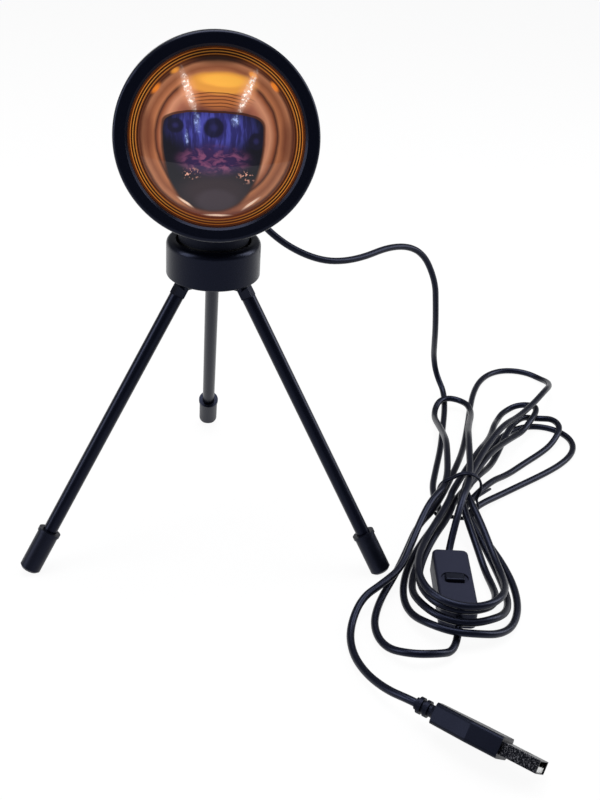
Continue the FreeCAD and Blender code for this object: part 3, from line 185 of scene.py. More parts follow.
def loop_plan(start, end, direction, reach, width):
    """Teardrop loop with a round head, seen from above, from one waist place out and back."""
    turn = math.radians(direction)
    widest = max(math.sin(math.radians(a)) * math.sin(math.radians(a / 2)) for a in range(1, 180))
    stem = min(1, max(LEAST_STEM, LOOP_STEM * width / reach))
    places = []
    for k in range(1, LOOP_NODES + 1):
        share = k / (LOOP_NODES + 1)
        swing = 2 * math.pi * share
        out = reach * math.sin(swing / 2) ** (2 * stem)
        aside = width / 2 * math.sin(swing) * math.sin(swing / 2) / widest
        x, y = between(start, end, share)
        x += out * math.sin(turn) + aside * math.cos(turn)
        y += out * math.cos(turn) - aside * math.sin(turn)
        places.append((x, y))
    return places


# %% Laying a route down over what is there
def lay_down(places, under):
    """Heights for a route laid over what is already there, kept clear of it all the way."""
    reach = 2 * LEAD_RADIUS + LAY_GAP
    heights = [FLOOR_HEIGHT + TIE_HEIGHT * (abs(y - WAIST[1]) < WAIST_BAND) for _, y in places]
    runs = [math.dist(a, b) for a, b in zip(places, places[1:])]

    def settle(k):
        steps = max(LEAST_STEPS, int(runs[k] / LAY_STEP))
        start, end = (*places[k], heights[k]), (*places[k + 1], heights[k + 1])
        under.extend(between(start, end, i / steps) for i in range(steps))

    for k in range(len(runs)):
        steps = max(LEAST_STEPS, int(runs[k] / LAY_STEP))
        need = 0
        for i in range(steps + 1):
            x, y = between(places[k], places[k + 1], i / steps)
            for low_x, low_y, low_z in under:
                if abs(low_x - x) < reach and abs(low_y - y) < reach:
                    aside = math.hypot(low_x - x, low_y - y)
                    if aside < reach:
                        need = max(need, low_z + math.sqrt(reach**2 - aside**2))
        heights[k] = max(heights[k], need)
        heights[k + 1] = max(heights[k + 1], need, heights[k] - LAY_SLOPE * runs[k])
        for j in range(k, max(-1, k - LAY_LAG), -1):
            heights[j] = max(heights[j], heights[j + 1] - LAY_SLOPE * runs[j])
        if k >= LAY_LAG:
            settle(k - LAY_LAG)
    for k in range(max(0, len(runs) - LAY_LAG), len(runs)):
        settle(k)
    return [(x, y, z) for (x, y), z in zip(places, heights)]

# %% Where each strand goes, seen from above
strands = [(WAIST[0] + place * WAIST_PITCH, WAIST[1]) for place in WAIST_PLACES]
first = [HANK_START] + TO_WAIST + [strands[0]]
for k in range(len(LOWER_LOOPS)):
    start, turn_back, end = strands[2 * k : 2 * k + 3]
    first += loop_plan(start, turn_back, *LOWER_LOOPS[k]) + [turn_back]
    first += loop_plan(turn_back, end, *UPPER_LOOPS[k]) + [end]
first += TO_SWITCH
start, end = strands[-2:]
second = FROM_SWITCH + [start] + loop_plan(start, end, *UPPER_LOOPS[-1]) + [end] + TO_PLUG
print(len(first), "points down to the switch,", len(second), "on to the plug")

# %% [markdown]
# Three things lie on the floor before the hank does, and its strands go over them: the short run
# into the switch, the switch's own cover and the stretch where the free part lands.

# %% What the strands go over
switch_centre = Vector((*SWITCH_MIDDLE, SWITCH_SPLIT))
lower_end = switch_centre - switch_way * SWITCH_LENGTH / 2
upper_end = switch_centre + switch_way * SWITCH_LENGTH / 2
last_run = INTO_SWITCH + [tuple(lower_end - switch_way * LEAD_STUB), tuple(lower_end)]
into = [(*TO_SWITCH[-1], FLOOR_HEIGHT)] + last_run
under = []
for start, after in zip(into, into[1:]):
    steps = int(math.dist(start, after) / LAY_STEP) + 1
    under += [between(start, after, i / steps) for i in range(steps + 1)]
across = Vector((switch_way.y, -switch_way.x, 0)) * (SWITCH_WIDTH / 2 - LEAD_RADIUS)
rows = int(SWITCH_LENGTH / LAY_STEP)
for i in range(rows + 1):
    along = LEAD_RADIUS + (SWITCH_LENGTH - 2 * LEAD_RADIUS) * i / rows
    for share in (-1, -0.5, 0, 0.5, 1):
        roof = lower_end + switch_way * along + across * share
        under.append((roof.x, roof.y, SWITCH_HEIGHT - LEAD_RADIUS))
first = lay_down(first, under) + last_run
hank_start = Vector((*HANK_START, FLOOR_HEIGHT))
setting_out = (Vector((*TO_WAIST[0], FLOOR_HEIGHT)) - hank_start).normalized()
landing = hank_start - setting_out * LANDING_RUN
for i in range(int(LANDING_RUN / LAY_STEP) + 1):
    under.append(between(hank_start, landing, i * LAY_STEP / LANDING_RUN))
print("the first run's top is", round(max(z for _, _, z in first), 1), "mm up")

# %% Lay the rest up to the plug, whose middle stands off the floor
plug_face = Vector((*PLUG_START, PLUG_MIDDLE))
second = lay_down(second, under)
for k, share in enumerate(PLUG_RISE, start=-len(PLUG_RISE)):
    x, y, z = second[k]
    second[k] = (x, y, z + share * (PLUG_MIDDLE - FLOOR_HEIGHT))
second = [tuple(upper_end), tuple(upper_end + switch_way * LEAD_STUB)] + second
second += [tuple(plug_face - plug_way * LEAD_STUB), tuple(plug_face)]
hank = lead_curve("lead_hank", first)
plug_side = lead_curve("lead_plug_side", second)
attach(hank, "stand")
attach(plug_side, "stand")
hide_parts("cord_hank")
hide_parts("cord_plug_side")
print("hank", round(run_length(hank), 3), "m, plug side", round(run_length(plug_side), 3), "m")

# %% [markdown]
# A coated wire holds the hank at its waist. It is pulled tight by hand, so it follows the outside
# of the strands: at every angle it stands off the strand that reaches furthest that way. It goes
# round twice, and its end stands off to one side.

# %% The wire tie
TIE_RADIUS, TIE_LOOSE, TIE_POINTS, TIE_TURNS = 0.55, 0.25, 20, 2
TIE_TAIL, ON_WAIST = (9.0, 10.5, -2.0), 0.01
crossings = [(x, z) for x, y, z in first + second if abs(y - WAIST[1]) < ON_WAIST]
middle = (WAIST[0], sum(z for _, z in crossings) / len(crossings))
tie_line = []
for k in range(TIE_POINTS * TIE_TURNS + 1):
    angle = -math.pi / 2 + 2 * math.pi * k / TIE_POINTS
    facing = (math.cos(angle), math.sin(angle))
    furthest = max((x - middle[0]) * facing[0] + (z - middle[1]) * facing[1] for x, z in crossings)
    stand_off = furthest + LEAD_RADIUS + TIE_RADIUS + TIE_LOOSE
    along = WAIST[1] + (k / TIE_POINTS - 1) * 2 * TIE_RADIUS
    height = max(TIE_RADIUS, middle[1] + facing[1] * stand_off)
    tie_line.append((middle[0] + facing[0] * stand_off, along, height))
side_point = tie_line[TIE_POINTS + TIE_POINTS // 4]
tail = [side_point, tuple(side_point[i] + TIE_TAIL[i] for i in range(3))]


def wire(name, points):
    """A stretch of the tie, which stands for the CAD tie."""
    piece = lead_curve(name, points, TIE_RADIUS)
    piece.data.bevel_resolution = 3
    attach(piece, "stand")
    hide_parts("cord_tie")
    return piece


tie = wire("wire_tie", tie_line)
tie_end = wire("wire_tie_end", tail)
print("tie stands", round(max(z for _, _, z in tie_line), 1), "mm high")

# %% [markdown]
# The free part joins the ball, which tilts and swivels, to the hank, which lies still. It is
# made a mesh, cut into an upper half and a lower half.

# %% The free part of the lead
GLAND_END, GLAND_RUN = 50.5, 11
FREE_MIDDLE, FREE_FOOT = (46, 58, 94.5), (111.9, 101.4, 42.3)
tip = (BALL - HUB) / MM - lens_way * GLAND_END
UPPER_FREE = [tuple(tip), tuple(tip - lens_way * GLAND_RUN), (3, 68, 138), (10, 66, 122), (26, 58, 105)]
LOWER_FREE = [
    (64, 68, 91), (84, 84, 93), (99, 93, 87), (107.5, 95, 71), (109.8, 97.5, 56.2), FREE_FOOT,
    (113.4, 106.3, 31.9), (115.7, 114.4, 19.5), (118.0, 113.5, 10.0), tuple(landing), tuple(hank_start),
]
whole_free = lead_curve("whole_free", UPPER_FREE + [FREE_MIDDLE] + LOWER_FREE)
whole_free.data.bevel_depth = 0
graph = bpy.context.evaluated_depsgraph_get()
line_mesh = bpy.data.meshes.new_from_object(whole_free.evaluated_get(graph))
free_line = [v.co.copy() for v in line_mesh.vertices]
bpy.data.objects.remove(whole_free)
split = min(range(len(free_line)), key=lambda i: (free_line[i] - from_hub(*FREE_MIDDLE)).length)
print(len(free_line), "places along the free part")


def lead_tube(name, line):
    """A mesh tube along points already on the smooth line."""
    piece = round_curve(name, "POLY", line, LEAD_RADIUS)
    bpy.ops.object.select_all(action="DESELECT")
    piece.select_set(True)
    bpy.context.view_layer.objects.active = piece
    bpy.ops.object.convert(target="MESH")
    bpy.ops.object.shade_smooth_by_angle(angle=math.radians(60))
    return bpy.context.object


upper_free = lead_tube("lead_upper", free_line[: split + 1])
lower_free = lead_tube("lead_lower", free_line[split:])
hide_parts("cord_lead")
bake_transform(upper_free)
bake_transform(lower_free)

# %% [markdown]

# %% [markdown]
# ## Finishes
# Colours are written as they look on a screen, and one function turns them into the linear
# numbers that Blender mixes light with. Another adds a node with its settings and its links, so
# that each finish below reads like a recipe.

# %% Colour and node helpers
def linear(code):
    """Hex sRGB to linear RGBA."""
    values = [int(code[i : i + 2], 16) / 255 for i in (1, 3, 5)]
    return tuple(v / 12.92 if v <= 0.04045 else ((v + 0.055) / 1.055) ** 2.4 for v in values) + (1,)


def node(tree, kind, settings=None, inputs=None):
    """Adds a node, sets its properties and fills or links its inputs."""
    item = tree.nodes.new("ShaderNode" + kind)
    for key, value in (settings or {}).items():
        setattr(item, key, value)
    for key, value in (inputs or {}).items():
        if isinstance(value, bpy.types.NodeSocket):
            tree.links.new(value, item.inputs[key])
        else:
            item.inputs[key].default_value = value
    return item


def finish_of(name, colour, roughness, metallic=0.0, **more):
    """A material with its Principled shader, ready for its own pattern."""
    material = bpy.data.materials.new(name)
    material.use_nodes = True
    tree = material.node_tree
    shader = tree.nodes["Principled BSDF"]
    shader.inputs["Base Color"].default_value = linear(colour)
    shader.inputs["Roughness"].default_value = roughness
    shader.inputs["Metallic"].default_value = metallic
    for key, value in more.items():
        shader.inputs[key.replace("_", " ")].default_value = value
    return material, tree, shader


def wear(piece, material):
    """Gives every face of a piece one material."""
    piece.data.materials.clear()
    piece.data.materials.append(material)


print("a mid grey is", round(linear("#808080")[0], 3), "in linear light")


# %% Patterns that many finishes share
def noise(tree, place, size_mm, detail=2.0):
    """Noise whose grains are about so many millimetres across."""
    return node(tree, "TexNoise", inputs={"Vector": place, "Scale": 1 / (size_mm * MM), "Detail": detail})


def spread(tree, value, low, high):
    """Spreads a 0 to 1 value between two others."""
    return node(tree, "MapRange", inputs={"Value": value, "To Min": low, "To Max": high}).outputs["Result"]


def relief(tree, shader, value, strength, depth_mm):
    """Makes a surface stand up where the value is high."""
    bump = node(tree, "Bump", inputs={"Height": value, "Strength": strength, "Distance": depth_mm * MM})
    tree.links.new(bump.outputs["Normal"], shader.inputs["Normal"])


print("grains of 0.5 mm are noise of scale", round(1 / (0.5 * MM)))

# %% [markdown]
# **Satin black paint** on spun and turned metal. Baked paint is smooth but has a very fine orange
# peel, so its highlights are soft-edged. The peel is about 0.6 mm across and a few microns deep.
# The black pieces all mirror a cool room, so their sheen leans to blue.

# %% Satin black paint
COOL_SHEEN = "#a9b4e6"
black_paint, tree, shader = finish_of(
    "satin_black_paint", "#03040b", 0.30, Specular_IOR_Level=0.26, Specular_Tint=linear(COOL_SHEEN)
)
place = node(tree, "TexCoord").outputs["Object"]
peel = noise(tree, place, 0.6, 3.0).outputs["Fac"]
tree.links.new(spread(tree, peel, 0.24, 0.34), shader.inputs["Roughness"])
relief(tree, shader, peel, 0.08, 0.02)
print("made", black_paint.name)

# %% [markdown]
# **Moulded plastics and rubbers.** The moulds are spark-eroded, which leaves a fine even grain that
# scatters light, so a switch of ABS looks greyer than paint. Soft PVC on the lead is extruded: its
# skin is smoother and takes a narrow highlight. Slow clouds of wear change the gloss a little.

# %% Moulded plastics
def moulded(name, colour, roughness, grain_mm, depth_mm, shine=0.3):
    """Plastic or rubber with the mould's fine grain and slow clouds in its gloss."""
    material, tree, shader = finish_of(
        name, colour, roughness, Specular_IOR_Level=shine, Specular_Tint=linear(COOL_SHEEN)
    )
    place = node(tree, "TexCoord").outputs["Object"]
    grain = noise(tree, place, grain_mm).outputs["Fac"]
    cloud = noise(tree, place, 9).outputs["Fac"]
    tree.links.new(spread(tree, cloud, roughness - 0.05, roughness + 0.07), shader.inputs["Roughness"])
    relief(tree, shader, grain, 0.25, depth_mm)
    return material


switch_plastic = moulded("grained_abs", "#1b1c28", 0.50, 0.30, 0.02)
button_plastic = moulded("polished_abs", "#0a0b12", 0.32, 0.8, 0.01)
foot_plastic = moulded("moulded_polypropylene", "#06070d", 0.40, 0.5, 0.02)
gland_plastic = moulded("moulded_nylon", "#07080e", 0.42, 0.4, 0.02)
lead_pvc = moulded("soft_pvc", "#06070f", 0.33, 0.9, 0.03, 0.32)
plug_pvc = moulded("overmoulded_pvc", "#06070e", 0.40, 0.35, 0.02, 0.2)
wire_pvc = moulded("pvc_coated_wire", "#05060c", 0.38, 0.6, 0.02)
seat_rubber = moulded("silicone_rubber", "#050609", 0.6, 0.4, 0.03)
lead_insulation = moulded("silicone_insulation", "#a8322a", 0.45, 0.5, 0.01)
tongue_plastic = moulded("white_pbt", "#dcdcd8", 0.45, 0.3, 0.01, 0.5)
print(len(bpy.data.materials), "materials so far")

# %% [markdown]
# **Metals.** Rolled and turned parts keep fine strokes of the tool, which stretch their highlights
# along the stroke. The plug's shell is stamped and darkly plated, with a fine speckle. The heat
# sink is extruded, so its lines run with the fins. The reflector is vacuum coated and nearly a
# mirror. The contacts are gold over nickel on brass.

# %% Metals with tool strokes
def stroked(name, colour, low, high, stroke_mm, stretch, depth_mm=0.01):
    """Metal with tool strokes drawn out by stretch along each axis."""
    material, tree, shader = finish_of(name, colour, low, 1.0)
    place = node(tree, "TexCoord").outputs["Object"]
    drawn = node(tree, "Mapping", inputs={"Vector": place, "Scale": stretch}).outputs["Vector"]
    stroke = noise(tree, drawn, stroke_mm).outputs["Fac"]
    tree.links.new(spread(tree, stroke, low, high), shader.inputs["Roughness"])
    relief(tree, shader, stroke, 0.15, depth_mm)
    return material


bright_steel = stroked("nickel_plated_steel", "#8d8f96", 0.22, 0.36, 1.2, (1, 1, 14))
gold_brass = stroked("gold_plated_brass", "#d0a548", 0.20, 0.30, 0.6, (1, 1, 1))
reflector_skin = stroked("vacuum_coated_aluminium", "#d4d6da", 0.06, 0.12, 3.0, (1, 1, 1))
extrusion = stroked("extruded_aluminium", "#a9abb1", 0.30, 0.46, 0.5, (1, 0.05, 1))
print("strokes on", bright_steel.name, "and", extrusion.name)

# %% The plug's speckled shell
shell_steel, tree, shader = finish_of("dark_plated_steel", "#22232a", 0.30, 1.0)
place = node(tree, "TexCoord").outputs["Object"]
speckle = noise(tree, place, 0.45, 3.0).outputs["Fac"]
tree.links.new(spread(tree, speckle, 0.25, 0.55), shader.inputs["Roughness"])
dots = node(tree, "MapRange", inputs={"Value": speckle, "From Min": 0.52, "From Max": 0.62}).outputs["Result"]
tone = node(tree, "Mix", {"data_type": "RGBA"}, {0: dots, 6: linear("#15161b"), 7: linear("#55555a")})
tree.links.new(tone.outputs[2], shader.inputs["Base Color"])
relief(tree, shader, speckle, 0.3, 0.02)
print("made", shell_steel.name)

# %% [markdown]
# **LED parts.** The board is aluminium under white solder mask, a flat slightly mottled lacquer.
# The chip is yellow phosphor in clear silicone, so its yellow is deep and grainy.

# %% LED parts
solder_mask = moulded("white_solder_mask", "#e4e4de", 0.40, 0.5, 0.01, 0.5)
phosphor, tree, shader = finish_of("phosphor_silicone", "#e0b32c", 0.25, Coat_Weight=0.6)
place = node(tree, "TexCoord").outputs["Object"]
grain = noise(tree, place, 0.4, 3.0).outputs["Fac"]
tone = node(tree, "Mix", {"data_type": "RGBA"}, {0: grain, 6: linear("#b98a18"), 7: linear("#f2cf55")})
tree.links.new(tone.outputs[2], shader.inputs["Base Color"])
relief(tree, shader, grain, 0.1, 0.01)
print("made", phosphor.name)

# %% [markdown]
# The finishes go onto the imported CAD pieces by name. Their meshes are left as they are.

# %% Put the finishes on the CAD nodes
LEGS = ("rear", "left", "right")
FINISH = {
    black_paint: ["cup_holder", "hub_block", "housing_shell", "bezel_ring"]
    + ["leg_%s_%s" % (part, leg) for part in ("link", "tube") for leg in LEGS],
    foot_plastic: ["foot_cap_" + leg for leg in LEGS],
    bright_steel: ["leg_pins", "hub_screw", "hub_washer", "seat_magnet", "board_screws"],
    seat_rubber: ["seat_pad", "lens_gasket"],
    gland_plastic: ["cord_gland", "lens_spacer", "switch_contact"],
    lead_insulation: ["inner_leads"],
    tongue_plastic: ["plug_tongue"],
    switch_plastic: ["switch_base", "switch_cover"],
    button_plastic: ["switch_button"],
    plug_pvc: ["plug_body"],
    shell_steel: ["plug_shell"],
    gold_brass: ["plug_contacts"],
    solder_mask: ["led_board"],
    phosphor: ["led_chip"],
    extrusion: ["heat_sink"],
    reflector_skin: ["reflector_cup"],
}
for material, names in FINISH.items():
    for name in names:
        wear(frame["nodes"][name], material)
for piece in (hank, plug_side, upper_free, lower_free):
    wear(piece, lead_pvc)
for piece in (tie, tie_end):
    wear(piece, wire_pvc)
print(len(FINISH), "finishes on", sum(map(len, FINISH.values())), "CAD pieces")

# %% [markdown]
# ## The coated lens
# The lens is clear glass in front of a filter whose thin coating mirrors amber and lets violet
# through, and the reflector behind it repeats each ring. From outside all of that is seen as one
# skin under a hard polished surface, so it is painted on the lens in the lens's own plane: rings
# by their radius, bent by slow noise, then single glints and shadows laid over them. A clear coat
# on top gives the glass its sharp reflections.

# %% The lens plane
LENS_RADIUS = 30.2
# The lens's colours are painted reflections, and its emission is painted light that the glass throws back.
coated_glass_painted_reflections, tree, shader = finish_of(
    "coated_glass_painted_reflections", "#3a2a30", 0.45, Coat_Weight=0.6, Coat_Roughness=0.02, Emission_Strength=0.5,
    Specular_IOR_Level=0.1,
)
on_part = node(tree, "TexCoord").outputs["Object"]
in_plane = node(
    tree, "Mapping", {"vector_type": "TEXTURE"},
    {
        "Vector": on_part,
        "Location": BALL,
        "Rotation": (math.pi / 2 - HEAD_TILT, 0, 0),
        "Scale": [LENS_RADIUS * MM] * 3,
    },
)
print("pattern reaches", LENS_RADIUS, "mm from the lens's middle")


# %% Sums on the lens
def vector_math(operation, *inputs):
    """One step of sums on places in the lens plane, as an output to link on."""
    return node(tree, "VectorMath", {"operation": operation}, dict(enumerate(inputs))).outputs[0]


def length(place):
    """How far a place is from the middle."""
    return node(tree, "VectorMath", {"operation": "LENGTH"}, {0: place}).outputs["Value"]


def number_math(operation, *inputs):
    """One step of sums on plain numbers, as an output to link on."""
    return node(tree, "Math", {"operation": operation}, dict(enumerate(inputs))).outputs[0]


def clouds(place, scale, **more):
    """Noise across the lens, whose scale counts its clouds along the radius."""
    return node(tree, "TexNoise", inputs={"Vector": place, "Scale": scale, **more}).outputs


def ease(value, low, high):
    """0 below low, 1 above high, smooth between; low above high turns it round."""
    return node(
        tree, "MapRange", {"interpolation_type": "SMOOTHSTEP"},
        {"Value": value, "From Min": low, "From Max": high, "To Min": 0.0, "To Max": 1.0},
    ).outputs["Result"]

# %% The plane, flat and with its slow ripple
RIPPLE = 0.05
flat = vector_math("MULTIPLY", in_plane.outputs["Vector"], (1, 1, 0))
ripple = clouds(flat, 2.2, Detail=3.0, Roughness=0.5)["Color"]
shift = vector_math("SUBTRACT", ripple, (0.5, 0.5, 0.5))
plane = vector_math("MULTIPLY_ADD", shift, (RIPPLE, RIPPLE, 0), flat)
fine = clouds(flat, 26.0, Detail=4.0, Roughness=0.6)["Fac"]
true_reach, bent_reach = length(flat), length(plane)
axes = node(tree, "SeparateXYZ", inputs={"Vector": plane}).outputs
print("ripple shifts a place by up to", round(RIPPLE / 2 * LENS_RADIUS, 2), "mm")


# %% Masks, and colours laid on by them
def patch(centre, radii, turn=0, soft=0.5, where=None):
    """1 inside a soft-edged ellipse in the lens plane, 0 outside it."""
    inside = node(
        tree, "Mapping", {"vector_type": "TEXTURE"},
        {
            "Vector": where or plane,
            "Location": (*centre, 0),
            "Rotation": (0, 0, math.radians(turn)),
            "Scale": (*radii, 1),
        },
    )
    return node(
        tree, "MapRange", {"interpolation_type": "SMOOTHERSTEP"},
        {"Value": length(inside.outputs["Vector"]), "From Min": 1.0, "From Max": 1 - soft},
    ).outputs["Result"]


def times(a, b):
    """1 only where both masks are."""
    return number_math("MULTIPLY", a, b)


def laid_over(under, mask, colour):
    """Lays one colour over another where the mask is."""
    mix = node(tree, "Mix", {"data_type": "RGBA"}, {0: mask, 6: under, 7: colour})
    return mix.outputs[2]


def ring(radius, width, reach=None):
    """1 on a thin ring, fading to both sides; of the true circle if no other reach is given."""
    away = number_math("ABSOLUTE", number_math("SUBTRACT", reach or true_reach, radius))
    return ease(away, width, 0.0)

# %% [markdown]
# First the painted reflections of the rings that the reflector repeats: copper and brown bands by
# their distance from the middle, a little bent by the ripple. A colour ramp holds them, from the
# middle to the rim.

# %% Rings by radius
ramp = node(tree, "ValToRGB", inputs={"Fac": bent_reach})
# Copper and brown bands of painted reflection, from the middle to the rim.
PAINTED_RING_REFLECTIONS = [
    (0.00, "#2a1a22"), (0.40, "#5a2f28"), (0.52, "#8e5440"), (0.60, "#b47a5c"), (0.66, "#84492f"),
    (0.69, "#3d1d14"), (0.72, "#a0623f"), (0.78, "#80492f"), (0.835, "#ab6e4c"), (0.865, "#4e2617"),
    (0.90, "#7d4529"), (0.94, "#3a1c10"),
]
bands = ramp.color_ramp.elements
while len(bands) < len(PAINTED_RING_REFLECTIONS):
    bands.new(0.5)
for band, (radius, colour) in zip(bands, PAINTED_RING_REFLECTIONS):
    band.position = radius
    band.color = linear(colour)
colour = ramp.outputs["Color"]
print(len(PAINTED_RING_REFLECTIONS), "rings")

# %% [markdown]
# Then soft patches of painted reflection, from large to small: a dark zone at the top, a warm glow
# below, a dim stretch at each side, the amber crescent where the lamp's own opening shines back,
# and four small painted amber glints. Each is a place, its two radii, a turn, a softness, a colour
# and a strength, in shares of the lens's radius.

# %% Patches of painted reflection over the rings, from large to small
# Painted reflections: a dark zone, a warm glow, dim sides, the amber crescent and four painted glints.
REFLECTION_PATCHES = [
    ((0.00, 0.93), (0.80, 0.17), 0, 0.7, "#1c0e08", 0.9),
    ((0.00, -0.84), (0.62, 0.20), 0, 0.8, "#6e3423", 0.8),
    ((-0.80, 0.05), (0.16, 0.42), 6, 0.8, "#5c2d1c", 0.6),
    ((0.82, -0.05), (0.14, 0.42), 4, 0.8, "#5c2d1c", 0.6),
    ((0.03, 0.50), (0.46, 0.24), 0, 0.5, "#a45f30", 0.9),
    ((0.035, 0.60), (0.46, 0.15), 0, 0.35, "#c98636", 0.95),
    ((0.06, 0.63), (0.36, 0.10), -2, 0.6, "#e0a03e", 0.9),
    ((-0.485, 0.72), (0.09, 0.045), 35, 0.9, "#ffa23e", 1.0),
    ((-0.69, 0.52), (0.10, 0.045), 50, 0.9, "#ff8c2c", 1.0),
    ((0.386, 0.70), (0.08, 0.045), -35, 0.9, "#ffa23e", 1.0),
    ((0.63, 0.58), (0.10, 0.045), -50, 0.9, "#ff8c2c", 1.0),
]
for centre, radii, turn, soft, shade, strength in REFLECTION_PATCHES:
    colour = laid_over(colour, times(patch(centre, radii, turn, soft), strength), linear(shade))
print(len(REFLECTION_PATCHES), "patches")

# %% [markdown]
# Under the crescent the reflector's steps show as five thin arcs of painted shade, flatter than
# circles. Two painted beams of window light fall across them, grainy because the glass breaks them up.

# %% Thin arcs of painted shade and the two painted beams of window light
# Five thin arcs of painted shade, and two painted beams of light across them.
SHADE_ARCS = (0.35, 0.385, 0.42, 0.455, 0.49)
BEAMS = (((-0.33, 0.51), 19), ((0.33, 0.51), -22))
upper_half = patch((0.03, 0.46), (0.46, 0.17), 0, 0.4)
flat_reach = length(vector_math("MULTIPLY", plane, (0.62, 1, 0)))
for radius in SHADE_ARCS:
    shade_arc = times(ring(radius, 0.010, flat_reach), upper_half)
    colour = laid_over(colour, times(shade_arc, 0.9), linear("#3a1a12"))
sparkle = spread(tree, ease(fine, 0.50, 0.60), 0.2, 1.0)
for centre, turn in BEAMS:
    beam = patch(centre, (0.14, 0.36), turn, 0.9, flat)
    core = patch(centre, (0.060, 0.34), turn, 0.8, flat)
    colour = laid_over(colour, times(beam, 0.4), linear("#e29a70"))
    colour = laid_over(colour, times(core, sparkle), linear("#fff3e8"))
print(len(SHADE_ARCS), "arcs and", len(BEAMS), "beams")

# %% [markdown]
# The middle mirrors the dark room in the shape of a shield. Its edge is a sum of powers: a high
# power gives the square shoulders, low ones the bowed sides and the round foot.

# %% The shield's shape
SHIELD_MIDDLE = (-0.045, -0.08)
SHIELD_SIDES, SHIELD_TOP, SHIELD_FOOT = 2.6, 8.0, 1.6


def shield(half_width, rise, fall, soft):
    """1 inside a shield shape: nearly square at the top, bowed at the sides, round at the foot."""
    x, y = (number_math("SUBTRACT", axes[k], SHIELD_MIDDLE[k]) for k in (0, 1))
    total = 0.0
    for value, reach, power in (
        (x, half_width, SHIELD_SIDES), (x, -half_width, SHIELD_SIDES),
        (y, rise, SHIELD_TOP), (y, -fall, SHIELD_FOOT),
    ):
        outward = number_math("MAXIMUM", number_math("DIVIDE", value, reach), 0.0)
        total = number_math("ADD", total, number_math("POWER", outward, power))
    return ease(total, 1.0, 1 - soft)


dark = shield(0.575, 0.36, 0.75, 0.10)
edge = shield(0.60, 0.385, 0.775, 0.12)
colour = laid_over(colour, times(edge, 0.85), linear("#2a120c"))
print("shield's middle is", [round(n * LENS_RADIUS, 1) for n in SHIELD_MIDDLE], "mm off the lens's")

# %% [markdown]
# Inside the shield the coating lets violet through, and the room shows in it as a painted
# reflection. From the top down come violet streaks with three dark round spots, a patch of dull
# pink, two clusters of painted warm glints and a brown foot. Painted grey blue gleams and three thin
# pale painted highlights at the foot are laid over them.

# %% The violet upper half of the painted room reflection, and its spots
# Three dark spots of painted reflection, each with a faint painted highlight in its middle.
DARK_REFLECTED_SPOTS = (((-0.04, 0.12), (0.13, 0.13)), ((-0.46, 0.13), (0.11, 0.10)), ((0.44, -0.02), (0.10, 0.11)))
drawn_down = vector_math("MULTIPLY", plane, (1, 0.16, 0))
streaks = ease(clouds(drawn_down, 13.0, Detail=3.0, Roughness=0.6)["Fac"], 0.46, 0.60)
violet = laid_over(linear("#26235a"), streaks, linear("#3f4090"))
room = laid_over(linear("#0d0c16"), times(patch((-0.04, 0.10), (0.64, 0.34), 0, 0.7), 0.95), violet)
for centre, radii in DARK_REFLECTED_SPOTS:
    room = laid_over(room, times(patch(centre, radii, 0, 0.3), 0.92), linear("#110f22"))
    inner = patch(centre, [radius * 0.5 for radius in radii], 0, 0.9)
    room = laid_over(room, times(inner, 0.25), linear("#3a3778"))
print(len(DARK_REFLECTED_SPOTS), "dark spots")

# %% The pink patch, the painted glints and the foot
# A pink patch, two clusters of painted warm glints and a brown foot, all painted reflection of the room.
drawn_aside = vector_math("MULTIPLY", plane, (0.55, 1, 0))
pink_reflection_clouds = clouds(drawn_aside, 13.0, Detail=5.0, Distortion=0.8)["Fac"]
room = laid_over(room, times(patch((-0.03, -0.24), (0.54, 0.26), 0, 0.7), 0.75), linear("#33204a"))
pink = times(patch((-0.03, -0.24), (0.50, 0.20), 0, 0.6), ease(pink_reflection_clouds, 0.44, 0.66))
room = laid_over(room, times(pink, 0.8), linear("#7e4664"))
glints = ease(noise(tree, on_part, 0.9, 2.0).outputs["Fac"], 0.56, 0.66)
for centre in ((-0.28, -0.40), (0.34, -0.42)):
    room = laid_over(room, times(patch(centre, (0.14, 0.10), 0, 0.8), glints), linear("#d89a86"))
room = laid_over(room, times(patch((0.0, -0.60), (0.60, 0.30), 0, 0.7), 0.85), linear("#2e2228"))
room = laid_over(room, times(patch((0.0, -0.70), (0.30, 0.18), 0, 0.5), 0.7), linear("#3a3038"))
print("nodes so far", len(tree.nodes))

# %% Painted gleams over the room, then the painted highlights at its foot
GLEAMS = [
    ((-0.22, 0.16), (0.05, 0.16), 8), ((0.20, 0.20), (0.07, 0.10), -10), ((-0.34, 0.0), (0.03, 0.12), 4),
]
# Three thin pale painted highlights at the foot of the shield.
FOOT_HIGHLIGHTS = [
    ((-0.35, -0.72), (0.15, 0.022), -34), ((0.40, -0.72), (0.18, 0.022), 36),
    ((0.02, -0.86), (0.22, 0.02), 0),
]
for centre, radii, turn in GLEAMS:
    gleam = times(patch(centre, radii, turn, 0.9), sparkle)
    room = laid_over(room, times(gleam, 0.8), linear("#9fb0e4"))
colour = laid_over(colour, dark, room)
for centre, radii, turn in FOOT_HIGHLIGHTS:
    colour = laid_over(colour, times(patch(centre, radii, turn, 0.9), 0.95), linear("#f4cdb2"))
print(len(GLEAMS), "gleams and", len(FOOT_HIGHLIGHTS), "pale lines")

# %% [markdown]
# Last come the rings cut in the rim, true circles in the edge of the glass, with painted amber
# highlights on them and dark rings between. The painted highlights are bright at the sides and
# weaker at the top and bottom. The whole pattern also glows a little as painted light, because
# much of it is light that the glass throws back and no shading of a matt skin would show.

# %% Painted amber highlights on the thin rings at the rim
aside = number_math("ABSOLUTE", axes["X"])
# Painted highlights on the rim's rings are strongest at the sides, weaker at the top and bottom.
side = node(
    tree, "MapRange", inputs={"Value": aside, "From Min": 0.2, "From Max": 0.8, "To Min": 0.45, "To Max": 1.0}
).outputs["Result"]
